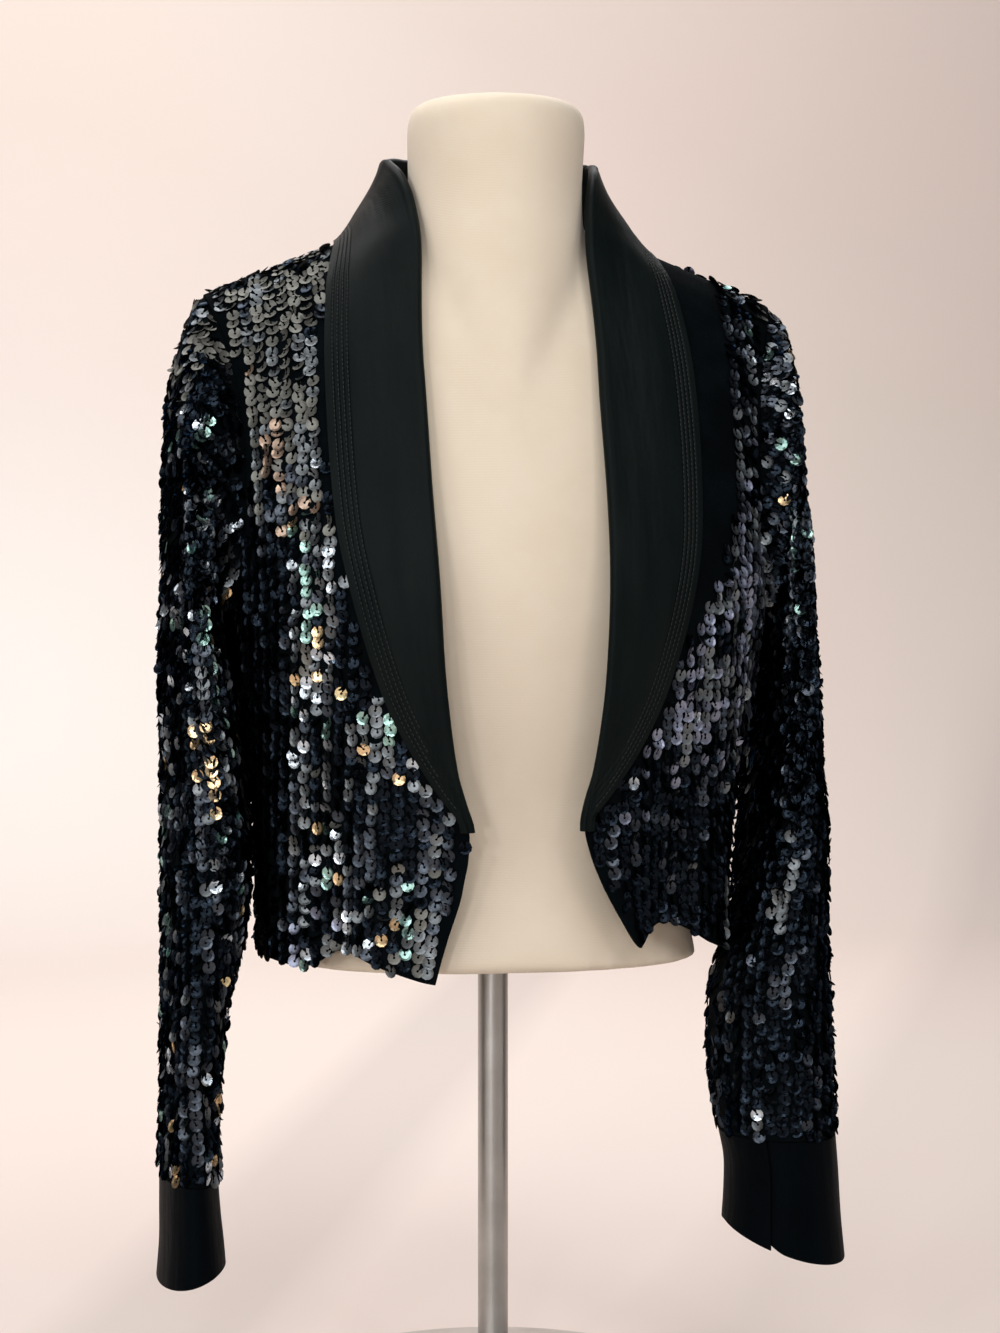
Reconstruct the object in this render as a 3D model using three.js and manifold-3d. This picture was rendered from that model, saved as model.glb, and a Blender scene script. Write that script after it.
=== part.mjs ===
// A cropped evening bolero in sequinned cloth with a wide satin shawl collar and plain satin cuffs,
// worn open on a limbless bust form that stands on a pole and a round base.
// Millimetres, +Z up. The bust faces -Y, and the origin is on the floor under the middle of the base.
import * as THREE from 'three';
import { mergeVertices } from 'three/addons/utils/BufferGeometryUtils.js';
import Module from 'manifold-3d';

const wasm = await Module();
wasm.setup();

// ---------------------------------------------------------------- driving sizes
const CLOTH = 2.0; // the sequinned cloth with its backing
const SATIN = 1.6; // collar and cuffs
const SEAM = 0.3; // left open between two pieces at a seam
const SHOULDER_X = 180; // middle of the back to the top of the armhole
const NECK_X = 63; // half the width of the neckline, at the shoulder seam
const UNDERARM_ROW = 9; // rows of the body block, below
const WAIST_ROW = 12;
const HEM_ROW = 13;
const SEAM_ROLL = 2.6; // radius of the soft fold along the collar's roll line
const COLLAR_LIFT = 3.6; // middle of the collar's fall above the inside of the cloth it lies on
const CUFF_LAP = 2.3; // one end of a cuff lies over the other by this much
const BASE_RADIUS = 130;
const BASE_HEIGHT = 10;
const POLE_RADIUS = 9.5;
const POLE_SINK = 14; // the pole's socket goes this deep into the bust form
const BUST_BOTTOM = 274;

// ---------------------------------------------------------------- tables
function table(columns, rows) {
  return rows.map((values, row) => ({
    row,
    ...Object.fromEntries(columns.map((name, k) => [name, values[k]])),
  }));
}

// The body block: the inside of the jacket as it hangs, in rows from the shoulder seam to the hem.
// height is at the shoulder's end, lift is added towards the neck, front and back are the depths
// from the ridge line, which is the y of the side seam, and squareness is the superellipse's power.
const BLOCK = table(
  ['height', 'lift', 'halfWidth', 'front', 'back', 'squareness', 'ridge'],
  [
    [688, 72, 196, 0, 0, 3.0, 15],
    [685, 71, 196, 16, 16, 3.0, 15],
    [679, 69, 195, 30, 30, 2.9, 15],
    [668, 64, 192, 46, 45, 2.8, 14],
    [648, 54, 187, 64, 60, 2.7, 13],
    [620, 40, 181, 83, 74, 2.6, 11],
    [585, 26, 176, 101, 86, 2.5, 9],
    [545, 12, 172, 117, 95, 2.4, 6],
    [515, 4, 170, 126, 99, 2.35, 4],
    [485, 0, 167, 127, 100, 2.3, 2],
    [440, 0, 160, 121, 99, 2.25, 0],
    [390, 0, 152, 113, 97, 2.2, 0],
    [340, 0, 147, 107, 97, 2.2, 0],
    [284, 0, 146, 106, 99, 2.2, 0],
  ],
);

// The bust form, in the same kind of rows, a little inside the block at the shoulders.
const BUST = table(
  ['height', 'lift', 'halfWidth', 'front', 'back', 'squareness', 'ridge'],
  [
    [687.2, 72, 179.6, 0, 0, 3.0, 15],
    [684.2, 71, 179.6, 14.5, 14.5, 3.0, 15],
    [678, 69, 179, 28, 28, 2.9, 15],
    [667, 64, 177, 43.5, 42.5, 2.8, 14],
    [647, 54, 171, 61, 57, 2.7, 13],
    [619, 40, 163, 79, 70, 2.6, 11],
    [585, 26, 157, 95, 81, 2.4, 9],
    [545, 12, 153, 108, 89, 2.3, 6],
    [515, 4, 150, 112, 92, 2.25, 4],
    [485, 0, 146, 109, 92, 2.2, 2],
    [440, 0, 136, 99, 88, 2.2, 0],
    [390, 0, 124, 88, 80, 2.2, 0],
    [345, 0, 118, 82, 76, 2.2, 0],
    [305, 0, 123, 86, 82, 2.2, 0],
    [BUST_BOTTOM, 0, 130, 88, 83.5, 2.2, 0],
  ],
);

// The armhole's edge: its x at each row of the block, from the shoulder's end to the underarm.
const ARMHOLE = table(['x'], [
  [180], [179.5], [178], [174], [168], [163], [160], [160.5], [163], [167],
]);

// The front edges, which are the roll lines down to the points where the collar ends, as x at a
// height: the wearer's right front hangs nearer the middle. Then the collar's outer edge on the front.
const FRONT_EDGE = table(['height', 'left', 'right'], [
  [266, 80, 58], [285, 71.5, 52], [302, 62, 45.8], [322, 51, 38], [334, 45.3, 35.5], [346, 40.5, 33.5],
  [364, 36, 33.5], [380, 38, 38.5], [399, 43, 44], [441, 48.5, 51], [476, 50.5, 54.5], [559, 53, 58.5],
  [618, 54.5, 60], [650, 56.5, 61], [680, 59, 62], [700, 60.5, 62.5], [718, 62, 63], [735, 63, 63],
  [760, 63, 63],
]);
const COLLAR_EDGE = table(['height', 'x'], [
  [364, 35.5], [372, 41], [387, 52], [417, 71], [447, 85], [500, 101], [547, 109.5], [632, 112.5],
  [687, 108.5], [709, 102.5], [728, 95], [760, 91],
]);

// The collar round the back of the neck, from the shoulder seam to the middle of the back: where its
// seam and its outer edge lie on the back panel, as x and row.
const BACK_NECK = table(['seamX', 'seamRow', 'edgeX', 'edgeRow'], [
  [NECK_X, 0, 94.5, 0], [60, 0.42, 88, 1.0], [49, 1.2, 73, 2.0], [28, 2.1, 42, 2.9], [0, 2.6, 0, 3.25],
]);

// How the collar stands. along is minus the row on the front, and 0 to 4 from the shoulder seam to
// the middle of the back. stand is the height of its stand, and cant turns that up off the cloth.
const COLLAR_STAND = table(['along', 'stand', 'cant'], [
  [-12, 0, 0], [-7, 0, 0], [-5.2, 1.5, 8], [-4.5, 4, 16], [-3.6, 10, 30], [-2.5, 20, 48],
  [-1.2, 31, 63], [0, 36.5, 70], [1, 39.5, 68], [2, 42, 60], [3, 43, 48], [4, 43.5, 42],
]);
const COLLAR_POINT_ROW = 11.55; // the row of the block where the collar's point ends
const POINT_WIDTH = 5; // across the collar at its point

// Soft folds of the body: bearing in degrees from the middle front (the wearer's left is plus),
// half width in degrees, how far out, and the heights between which it grows to that.
const BODY_FOLDS = table(['bearing', 'spread', 'out', 'top', 'bottom'], [
  [-76, 9, 4.0, 470, 300], [-58, 8, -4.0, 480, 300], [-41, 7, 4.5, 460, 290], [-30, 6, -2.5, 420, 290],
  [33, 6, 3.0, 430, 290], [47, 8, -4.0, 470, 300], [63, 8, 4.0, 480, 300],
  [104, 9, -3.0, 500, 300], [122, 8, 4.5, 520, 290], [143, 9, -4.0, 500, 290], [163, 9, 4.0, 480, 290],
  [-176, 7, -3.0, 470, 290], [-158, 9, 4.5, 500, 290], [-136, 9, -4.0, 520, 290], [-114, 9, 3.5, 500, 300],
  [-20, 9, 2.5, 640, 520], [24, 9, 2.5, 640, 520],
]);

// The hem's rise or drop, by the same bearing.
const HEM_WAVE = table(['bearing', 'rise'], [
  [-180, 5], [-150, 7], [-120, 3], [-90, 0], [-76, -2], [-64, -4.5], [-54, 6], [-43, -2], [-30, -12],
  [-15, -12], [15, -2], [33, 1], [37, 6], [42, 18], [47, 20.5], [54, 15.5], [62, 5], [74, -1], [90, 0],
  [120, 4], [150, 7], [180, 5],
]);

// A sleeve's rings, from the armhole to the wrist seam, as the ring's outer and inner edge in the
// front view, its middle from front to back, and half its depth from front to back.
const RING = ['outX', 'outZ', 'inX', 'inZ', 'middle', 'halfDeep'];
const SLEEVE = {
  // the wearer's left sleeve hangs full and round below the elbow
  left: table(RING, [
    [180, 689, 172, 485, 8, 56], [184, 684, 172.8, 481, 8, 60], [187.5, 676, 173.2, 476, 8, 63],
    [188.6, 663, 173.5, 470, 7, 65], [188.2, 642, 174, 462, 5, 66], [189, 614, 174, 452, 3, 66],
    [192.3, 582, 173.5, 440, 1, 66], [195.5, 546, 172.5, 424, 0, 65], [199.3, 508, 171, 404, -1, 64],
    [203.5, 466, 168, 378, -3, 62], [206, 420, 163.5, 350, -6, 59], [208.3, 372, 158.5, 322, -9, 56],
    [209.8, 330, 155, 298, -11, 53], [213, 272, 140.5, 258, -14, 50], [214.3, 225, 138, 215, -16, 47],
    [215.6, 190, 139.8, 186, -18, 45], [216.7, 162, 143.2, 164, -19, 44],
  ]),
  // the wearer's right sleeve hangs flatter, with more width at its head
  right: table(RING, [
    [180, 689, 172, 485, 8, 56], [184, 686, 172.8, 481, 8, 60], [187, 678, 173.2, 476, 8, 64],
    [192, 664, 173, 470, 7, 67], [198.5, 642, 171.5, 462, 6, 69], [203, 614, 169.5, 452, 5, 70],
    [204.8, 582, 167, 440, 4, 70], [206, 546, 164, 424, 2, 69], [206.3, 508, 160.5, 404, 0, 68],
    [208.3, 466, 157, 378, -3, 66], [208, 420, 154.5, 350, -5, 64], [207.5, 372, 155.5, 318, -8, 62],
    [207.5, 322, 161, 286, -10, 60], [207, 272, 169.5, 250, -12, 59], [208.2, 225, 173.5, 212, -13, 58],
    [208.8, 190, 175.5, 182, -14, 57], [210.5, 150, 174.5, 148, -15, 56],
  ]),
};
const CUFF = {
  left: table(RING, [
    [216.8, 161.6, 143.4, 163.6, -19, 44], [218.4, 140, 146.8, 145, -19.5, 43.5],
    [220.2, 111, 146.6, 125, -20, 43.5], [222.5, 86, 145.2, 107, -21, 45],
  ]),
  right: table(RING, [
    [210.6, 149.6, 174.5, 147.6, -15, 56], [210.8, 128, 172.8, 127, -15, 55], [211, 106, 171, 111, -16, 55],
    [212.8, 84, 169.8, 97.5, -17, 56],
  ]),
};
// The cuff's lower edge hangs lower in front than its rings do.
const CUFF_DROP = { left: 8, right: 1 };

// Folds of a sleeve: the angle round it (0 outside, 90 front, 180 inside, 270 back), half width in
// degrees, how far out, the heights it lies between, and how many degrees it winds on the way down.
const SLEEVE_FOLDS = table(['angle', 'spread', 'out', 'top', 'bottom', 'wind'], [
  [38, 13, 3.0, 640, 430, 12], [66, 11, -3.5, 620, 400, 18], [100, 13, 3.0, 560, 380, 16],
  [300, 14, -3.5, 620, 400, -14], [328, 12, 3.0, 640, 430, -8], [262, 14, 3.0, 560, 380, -20],
  [20, 16, -2.5, 420, 250, 30], [55, 14, 2.5, 380, 220, -34], [110, 16, -3.0, 400, 240, 40],
  [250, 16, 3.0, 400, 230, -36], [305, 15, -2.5, 360, 190, 34], [75, 14, -2.0, 260, 170, 20],
]);

// The neck of the bust form, and the blend from it into the chest: half width, front and back.
const NECK = table(['height', 'halfWidth', 'front', 'back'], [
  [615, 18, -83, 20], [640, 33, -79.5, 30], [660, 43, -75.5, 38], [680, 50, -70.5, 44], [700, 54, -66, 48],
  [720, 56, -62, 49.5], [738, 55.5, -60, 49], [755, 54.6, -61, 47.5], [770, 55, -63, 46],
  [790, 55.8, -66, 44.5], [800, 55, -66.5, 43], [805.5, 51.5, -63.5, 39.5], [808.5, 45, -57.5, 33.5],
  [809.5, 36, -48.5, 24.5],
]);

// ---------------------------------------------------------------- curves and blends
// A column's value at a key: a smooth curve through the rows, each row's slope taken from its neighbours.
function smooth(rows, key, column, at) {
  const last = rows.length - 1;
  let k = 0;
  while (k < last - 1 && rows[k + 1][key] < at) k += 1;
  const slope = (j) => {
    const a = rows[Math.max(0, j - 1)];
    const b = rows[Math.min(last, j + 1)];
    return (b[column] - a[column]) / (b[key] - a[key]);
  };
  const span = rows[k + 1][key] - rows[k][key];
  const t = Math.min(1, Math.max(0, (at - rows[k][key]) / span));
  const ease = t * t * (3 - 2 * t);
  const bend = t * (1 - t) * span * ((1 - t) * slope(k) - t * slope(k + 1));
  return rows[k][column] * (1 - ease) + rows[k + 1][column] * ease + bend;
}

function step(from, to, at) {
  const t = Math.min(1, Math.max(0, (at - from) / (to - from)));
  return t * t * (3 - 2 * t);
}

function spread(from, to, count) {
  return Array.from({ length: count + 1 }, (_, k) => from + ((to - from) * k) / count);
}

function vector(x, y, z) {
  return new THREE.Vector3(x, y, z);
}

// ---------------------------------------------------------------- solids from grids
function toSolid(points, quads) {
  const flat = points.flatMap((p) => [p.x, p.y, p.z]);
  const index = quads.flatMap((q) => (q.length === 4 ? [q[1], q[2], q[3], q[1], q[3], q[0]] : q));
  let volume = 0;
  for (let k = 0; k < index.length; k += 3) {
    const [a, b, c] = [points[index[k]], points[index[k + 1]], points[index[k + 2]]];
    volume += a.dot(b.clone().cross(c));
  }
  if (volume < 0) index.reverse();
  const geometry = new THREE.BufferGeometry();
  geometry.setAttribute('position', new THREE.Float32BufferAttribute(flat, 3));
  geometry.setIndex(index);
  return mergeVertices(geometry, 1e-4);
}

// Unit normals of a grid of points, by differences along its rows and columns.
function gridNormals(grid, ring) {
  const rows = grid.length;
  const columns = grid[0].length;
  return grid.map((line, i) =>
    line.map((_, j) => {
      const left = ring ? (j + columns - 1) % columns : Math.max(0, j - 1);
      const right = ring ? (j + 1) % columns : Math.min(columns - 1, j + 1);
      const across = grid[i][right].clone().sub(grid[i][left]);
      const down = grid[Math.min(rows - 1, i + 1)][j].clone().sub(grid[Math.max(0, i - 1)][j]);
      return across.cross(down).normalize();
    }),
  );
}

// A wall between two grids of points of the same size. ring closes the rows into loops.
function wall(inner, outer, ring) {
  const rows = inner.length;
  const columns = inner[0].length;
  const points = [...inner.flat(), ...outer.flat()];
  const at = (layer, i, j) => layer * rows * columns + i * columns + (j % columns);
  const quads = [];
  const spans = ring ? columns : columns - 1;
  for (let i = 0; i < rows - 1; i += 1) {
    for (let j = 0; j < spans; j += 1) {
      quads.push([at(1, i, j), at(1, i, j + 1), at(1, i + 1, j + 1), at(1, i + 1, j)]);
      quads.push([at(0, i, j), at(0, i + 1, j), at(0, i + 1, j + 1), at(0, i, j + 1)]);
    }
  }
  for (let j = 0; j < spans; j += 1) {
    quads.push([at(0, 0, j), at(0, 0, j + 1), at(1, 0, j + 1), at(1, 0, j)]);
    quads.push([at(0, rows - 1, j + 1), at(0, rows - 1, j), at(1, rows - 1, j), at(1, rows - 1, j + 1)]);
  }
  if (!ring) {
    for (let i = 0; i < rows - 1; i += 1) {
      quads.push([at(0, i + 1, 0), at(0, i, 0), at(1, i, 0), at(1, i + 1, 0)]);
      quads.push([at(0, i, columns - 1), at(0, i + 1, columns - 1), at(1, i + 1, columns - 1), at(1, i, columns - 1)]);
    }
  }
  return toSolid(points, quads);
}

function moved(grid, directions, distance) {
  return grid.map((line, i) => line.map((p, j) => p.clone().addScaledVector(directions[i][j], distance)));
}

// ---------------------------------------------------------------- the body block
const BACK = 1;
const FRONT = -1;

// Degrees from the middle front: the wearer's left side is +90 and the middle of the back 180.
function bearingOf(x, forward) {
  return (Math.atan2(x, forward) * 180) / Math.PI;
}

// The point of a block at x and row; way says front or back.
function blockPoint(block, way, x, row) {
  const at = (column) => smooth(block, 'row', column, row);
  const power = at('squareness');
  const across = Math.min(1, Math.abs(x) / at('halfWidth'));
  const depth = Math.max(SEAM / 2, at(way === FRONT ? 'front' : 'back') * (1 - across ** power) ** (1 / power));
  const height = at('height') + at('lift') * (1 - Math.abs(x) / SHOULDER_X);
  return vector(x, at('ridge') + way * depth, height);
}

// Straight out from the superellipse of a row, level.
function levelOut(way, x, row) {
  const at = (column) => smooth(BLOCK, 'row', column, row);
  const power = at('squareness');
  const across = Math.min(1, Math.abs(x) / at('halfWidth'));
  const deep = Math.max(1, at(way === FRONT ? 'front' : 'back'));
  return vector(
    (Math.sign(x) * across ** (power - 1)) / at('halfWidth'),
    (way * (1 - across ** power) ** ((power - 1) / power)) / deep,
    0,
  ).normalize();
}

function foldOf(p) {
  const bearing = bearingOf(p.x, -p.y);
  return BODY_FOLDS.reduce((sum, fold) => {
    const off = ((bearing - fold.bearing + 540) % 360) - 180;
    return sum + fold.out * Math.exp(-((off / fold.spread) ** 2)) * step(fold.top, fold.bottom, p.z);
  }, 0);
}

// The jacket's inside: the block with its folds and its hem's wave.
function bodyPoint(way, x, row) {
  const p = blockPoint(BLOCK, way, x, row);
  const rise = smooth(HEM_WAVE, 'bearing', 'rise', bearingOf(x, -p.y));
  p.addScaledVector(levelOut(way, x, row), foldOf(p));
  p.z += rise * Math.max(0, row - WAIST_ROW) ** 2;
  return p;
}

// Square out from the jacket at a place. On the shoulder seam that leans neither way.
function outwardAt(way, x, row) {
  const up = bodyPoint(way, x, Math.max(0, row - 0.15));
  const down = bodyPoint(way, x, row + 0.15);
  const across = bodyPoint(way, x + 1, row).sub(bodyPoint(way, x - 1, row));
  const out = across.cross(down.sub(up)).multiplyScalar(way);
  if (row === 0) out.y = 0;
  return out.normalize();
}

// x of the panel's outer edge: the armhole above the underarm, and the side seam below it.
function outerX(row) {
  return row < UNDERARM_ROW ? smooth(ARMHOLE, 'row', 'x', row) : smooth(BLOCK, 'row', 'halfWidth', row);
}

// x of an edge that is given by height, at a row of the block.
function edgeX(rows, column, row) {
  const height = smooth(BLOCK, 'row', 'height', row);
  const lift = smooth(BLOCK, 'row', 'lift', row);
  let x = NECK_X;
  for (let k = 0; k < 6; k += 1) {
    x = smooth(rows, 'height', column, height + lift * (1 - x / SHOULDER_X));
  }
  return x;
}

// Across an armhole seam both pieces have their thickness along one line, so that neither crosses the
// other: away from the armhole's middle, and sideways under the arm, where the two lie side by side.
const ARMHOLE_MIDDLE = vector(0, 4, 598);
function underarmShare(row) {
  return step(7.2, UNDERARM_ROW, row);
}
function seamDirection(p, row, sideways) {
  const away = vector(0, p.y - ARMHOLE_MIDDLE.y, p.z - ARMHOLE_MIDDLE.z).normalize();
  const share = underarmShare(row);
  return away.multiplyScalar(1 - share).add(vector(sideways * share, 0, 0));
}

const ROWS = [...spread(0, UNDERARM_ROW, 13), ...spread(UNDERARM_ROW, HEM_ROW, 7).slice(1)];

// A body panel from its grid of [x, row] places, with its thickness outward.
function bodyPanel(way, places, armholeColumns) {
  const grid = places.map((line) => line.map(([x, row]) => bodyPoint(way, x, row)));
  const normals = gridNormals(grid, false);
  const outward = Math.sign(normals[5][5].y * way);
  const directions = normals.map((line) => line.map((n) => n.multiplyScalar(outward)));
  armholeColumns.forEach((j) => {
    places.forEach((line, i) => {
      const [x, row] = line[j];
      if (row <= UNDERARM_ROW) directions[i][j] = seamDirection(grid[i][j], row, Math.sign(x));
    });
  });
  return wall(grid, moved(grid, directions, CLOTH), false);
}

const FRONT_COLUMNS = 10;
function frontPanel(name, side) {
  const places = ROWS.map((row) => {
    const inner = edgeX(FRONT_EDGE, name, row);
    return spread(0, 1, FRONT_COLUMNS).map((s) => [
      side * (inner + (outerX(row) - inner) * Math.sin((s * Math.PI) / 2)), row,
    ]);
  });
  return bodyPanel(FRONT, places, [FRONT_COLUMNS]);
}

// The back's columns run right across it. Inside the neckline they start on the neckline itself, at
// the same places as the collar's sections.
const NECK_SPANS = 5;
function necklineX(k) {
  return NECK_X * Math.cos((Math.PI / 2) * (k / NECK_SPANS));
}
function necklineRow(x) {
  const rows = [...BACK_NECK].reverse();
  return Math.abs(x) >= NECK_X ? 0 : Math.max(0, smooth(rows, 'seamX', 'seamRow', Math.abs(x)));
}
function backPanel() {
  const outside = spread(0, 1, 8).map((s) => NECK_X + (SHOULDER_X - NECK_X) * Math.sin((s * Math.PI) / 2));
  const inside = spread(1, NECK_SPANS, NECK_SPANS - 1).map(necklineX);
  const half = [...inside.reverse(), ...outside];
  const columns = [...half.slice(1).reverse().map((x) => -x), ...half];
  const places = ROWS.map((row) =>
    columns.map((x) => {
      const top = necklineRow(x);
      const here = top + (row * (HEM_ROW - top)) / HEM_ROW;
      return [(x / SHOULDER_X) * outerX(here), here];
    }),
  );
  return bodyPanel(BACK, places, [0, columns.length - 1]);
}

// ---------------------------------------------------------------- sleeves and cuffs
// The armhole's edge as a loop, down the front and up the back at the panels' own rows, each with its
// angle round the sleeve.
const ARMHOLE_ROWS = ROWS.filter((row) => row <= UNDERARM_ROW);
function armholeLoop(side) {
  const half = (way) => {
    const path = ARMHOLE_ROWS.map((row) => ({ row, p: bodyPoint(way, side * outerX(row), row), along: 0 }));
    path.slice(1).forEach((seam, k) => {
      seam.along = path[k].along + seam.p.distanceTo(path[k].p);
    });
    const whole = path[path.length - 1].along;
    return path.map((seam) => ({ ...seam, angle: -way * Math.PI * (seam.along / whole) }));
  };
  return [...half(FRONT), ...half(BACK).reverse().slice(1, -1)];
}

// One ring of a sleeve or cuff: an oval through its outer and inner edge. Angle 0 is the outer edge
// and 90 degrees the front.
function ringPoint(rows, side, row, angle) {
  const at = (column) => smooth(rows, 'row', column, row);
  const middle = vector((at('outX') + at('inX')) / 2, at('middle'), (at('outZ') + at('inZ')) / 2);
  const across = vector((at('outX') - at('inX')) / 2, 0, (at('outZ') - at('inZ')) / 2);
  const p = middle.addScaledVector(across, Math.cos(angle));
  p.y -= at('halfDeep') * Math.sin(angle);
  p.x *= side;
  return p;
}

function sleeveFold(p, angle) {
  const degrees = (angle * 180) / Math.PI;
  return SLEEVE_FOLDS.reduce((sum, fold) => {
    const down = (fold.top - p.z) / (fold.top - fold.bottom);
    if (down <= 0 || down >= 1) return sum;
    const off = ((degrees - fold.angle - fold.wind * down + 540) % 360) - 180;
    return sum + fold.out * Math.exp(-((off / fold.spread) ** 2)) * Math.sin(Math.PI * down) ** 2;
  }, 0);
}

function sleeve(name, side) {
  const rows = SLEEVE[name];
  const loop = armholeLoop(side);
  const places = [0, 0.7, 1.4, 2.2, 3, 3.9, 4.8, ...spread(5.8, rows.length - 1, 12)];
  const flat = places.map((row) => {
    const settle = step(0, 3.4, row);
    return loop.map((seam) => {
      const share = underarmShare(seam.row);
      const start = seam.p.clone().add(vector(side * (SEAM + share * (2 * CLOTH + 0.2)), 0, 0));
      return start.lerp(ringPoint(rows, side, row, seam.angle), settle).add(
        headBulge(rows, side, row, settle, seam.angle),
      );
    });
  });
  const normals = gridNormals(flat, true);
  const grid = flat.map((line, i) =>
    line.map((p, j) => p.clone().addScaledVector(normals[i][j], -side * sleeveFold(p, loop[j].angle))),
  );
  const directions = gridNormals(grid, true).map((line) => line.map((n) => n.multiplyScalar(-side)));
  directions[0] = loop.map((seam) => seamDirection(seam.p, seam.row, -side));
  return wall(grid, moved(grid, directions, CLOTH), true);
}

// While the rings leave the armhole's loop they still follow the sleeve head's outline outward.
function headBulge(rows, side, row, settle, angle) {
  const ahead = ringPoint(rows, side, row, angle).sub(ringPoint(rows, side, 0, angle));
  return ahead.multiplyScalar(1 - settle);
}

// A cuff is a band whose end laps over its start, with the corner of the upper end cut away in a curve.
// The wearer's left one has its opening in front, and the right one is turned with it to the back.
const CUFF_START = { left: 2.08, right: Math.PI * 1.06 };
const CUFF_SPANS = 26;
function cuff(name, side) {
  const rows = CUFF[name];
  const lap = 0.28; // radians of overlap
  const places = spread(0, rows.length - 1, 4);
  const turns = spread(0, 1, CUFF_SPANS);
  const grid = places.map((row) =>
    turns.map((turn) => {
      const angle = CUFF_START[name] + turn * (2 * Math.PI + lap);
      const p = ringPoint(rows, side, row, angle);
      const low = row / (rows.length - 1);
      const corner = 6 * step(0.92, 1, turn) * low ** 3;
      return p.add(vector(0, 0, corner - CUFF_DROP[name] * Math.max(0, Math.sin(angle)) * low ** 2));
    }),
  );
  const normals = gridNormals(grid, false).map((line) => line.map((n) => n.multiplyScalar(-side)));
  const base = grid.map((line, i) =>
    line.map((p, j) => p.clone().addScaledVector(normals[i][j], CUFF_LAP * step(0.84, 0.93, turns[j]))),
  );
  return wall(base, moved(base, normals, SATIN), false);
}

// ---------------------------------------------------------------- shawl collar
// Where the collar's sections stand: at the front panel's rows, and at the back panel's columns.
const COLLAR_STATIONS = [
  COLLAR_POINT_ROW, ...ROWS.filter((row) => row < COLLAR_POINT_ROW - 0.1).reverse(),
].map((row) => -row).concat(spread(1, NECK_SPANS, NECK_SPANS - 1));

// The collar's seam and outer edge at a station, as x and row on one of the panels.
function collarEnds(name, station) {
  if (station <= 0) {
    const row = -station;
    const seam = edgeX(FRONT_EDGE, name, row);
    return { way: FRONT, seam: [seam, row], edge: [Math.max(seam + POINT_WIDTH, edgeX(COLLAR_EDGE, 'x', row)), row] };
  }
  const x = necklineX(station);
  const share = (4 * station) / NECK_SPANS;
  const at = (column) => Math.max(0, smooth(BACK_NECK, 'row', column, share));
  return { way: BACK, seam: [x, necklineRow(x)], edge: [at('edgeX'), at('edgeRow')] };
}

// The collar's section at a station, as points along its middle: up the stand, round the roll and
// down the fall, which lies over the body's own points, moved out.
const ROLL_STEPS = 4;
const FALL_STEPS = 6;
function collarSection(name, side, station) {
  const { way, seam, edge } = collarEnds(name, station);
  const along = station <= 0 ? station : (4 * station) / NECK_SPANS;
  const place = (f) => [side * (seam[0] + (edge[0] - seam[0]) * f), seam[1] + (edge[1] - seam[1]) * f];
  const start = bodyPoint(way, ...place(0));
  const out = outwardAt(way, ...place(0));
  const inward = start.clone().sub(bodyPoint(way, ...place(0.05)));
  inward.addScaledVector(out, -inward.dot(out)).normalize();
  const cant = (smooth(COLLAR_STAND, 'along', 'cant', along) * Math.PI) / 180;
  const stand = Math.max(0, smooth(COLLAR_STAND, 'along', 'stand', along));
  const up = inward.clone().multiplyScalar(Math.cos(cant)).addScaledVector(out, Math.sin(cant));
  const apart = out.clone().multiplyScalar(Math.cos(cant)).addScaledVector(inward, -Math.sin(cant));
  const taper = step(-COLLAR_POINT_ROW, 2.2 - COLLAR_POINT_ROW, along);
  const roll = SEAM_ROLL * (0.55 + 0.45 * taper);
  const foot = start.clone()
    .addScaledVector(out, CLOTH / 2)
    .addScaledVector(inward, SEAM + 0.1 + (SATIN / 2) * Math.sin(cant));
  const section = [foot, foot.clone().addScaledVector(up, stand / 2 + 0.4)];
  spread(0, Math.PI, ROLL_STEPS).forEach((turn) => {
    section.push(
      foot.clone()
        .addScaledVector(up, stand + 0.8 + roll * Math.sin(turn))
        .addScaledVector(apart, roll * (1 - Math.cos(turn))),
    );
  });
  const offset = section[section.length - 1].clone().sub(start);
  spread(0, 1, FALL_STEPS).slice(1).forEach((f) => {
    const lift = (COLLAR_LIFT + 1.6 * Math.sin(Math.PI * f) * taper) * Math.min(1, 2.2 * f);
    section.push(
      bodyPoint(way, ...place(f))
        .addScaledVector(outwardAt(way, ...place(f)), lift)
        .addScaledVector(offset, (1 - f) ** 1.7),
    );
  });
  return section;
}

function collarHalf(name, side) {
  const grid = COLLAR_STATIONS.map((station) => collarSection(name, side, station));
  const middle = grid[grid.length - 1];
  middle.forEach((p) => {
    p.x = (side * SEAM) / 2;
  });
  const normals = gridNormals(grid, false);
  normals[normals.length - 1].forEach((n) => {
    n.x = 0;
    n.normalize();
  });
  return wall(moved(grid, normals, -SATIN / 2), moved(grid, normals, SATIN / 2), false);
}

// ---------------------------------------------------------------- bust form and stand
function toManifold(geometry) {
  const merged = mergeVertices(geometry, 1e-4);
  return new wasm.Manifold(new wasm.Mesh({
    numProp: 3,
    vertProperties: new Float32Array(merged.attributes.position.array),
    triVerts: new Uint32Array(merged.index.array),
  }));
}

function fromManifold(manifold) {
  const mesh = manifold.getMesh();
  const geometry = new THREE.BufferGeometry();
  geometry.setAttribute('position', new THREE.BufferAttribute(mesh.vertProperties.slice(), 3));
  geometry.setIndex(new THREE.BufferAttribute(mesh.triVerts.slice(), 1));
  return geometry;
}

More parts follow.
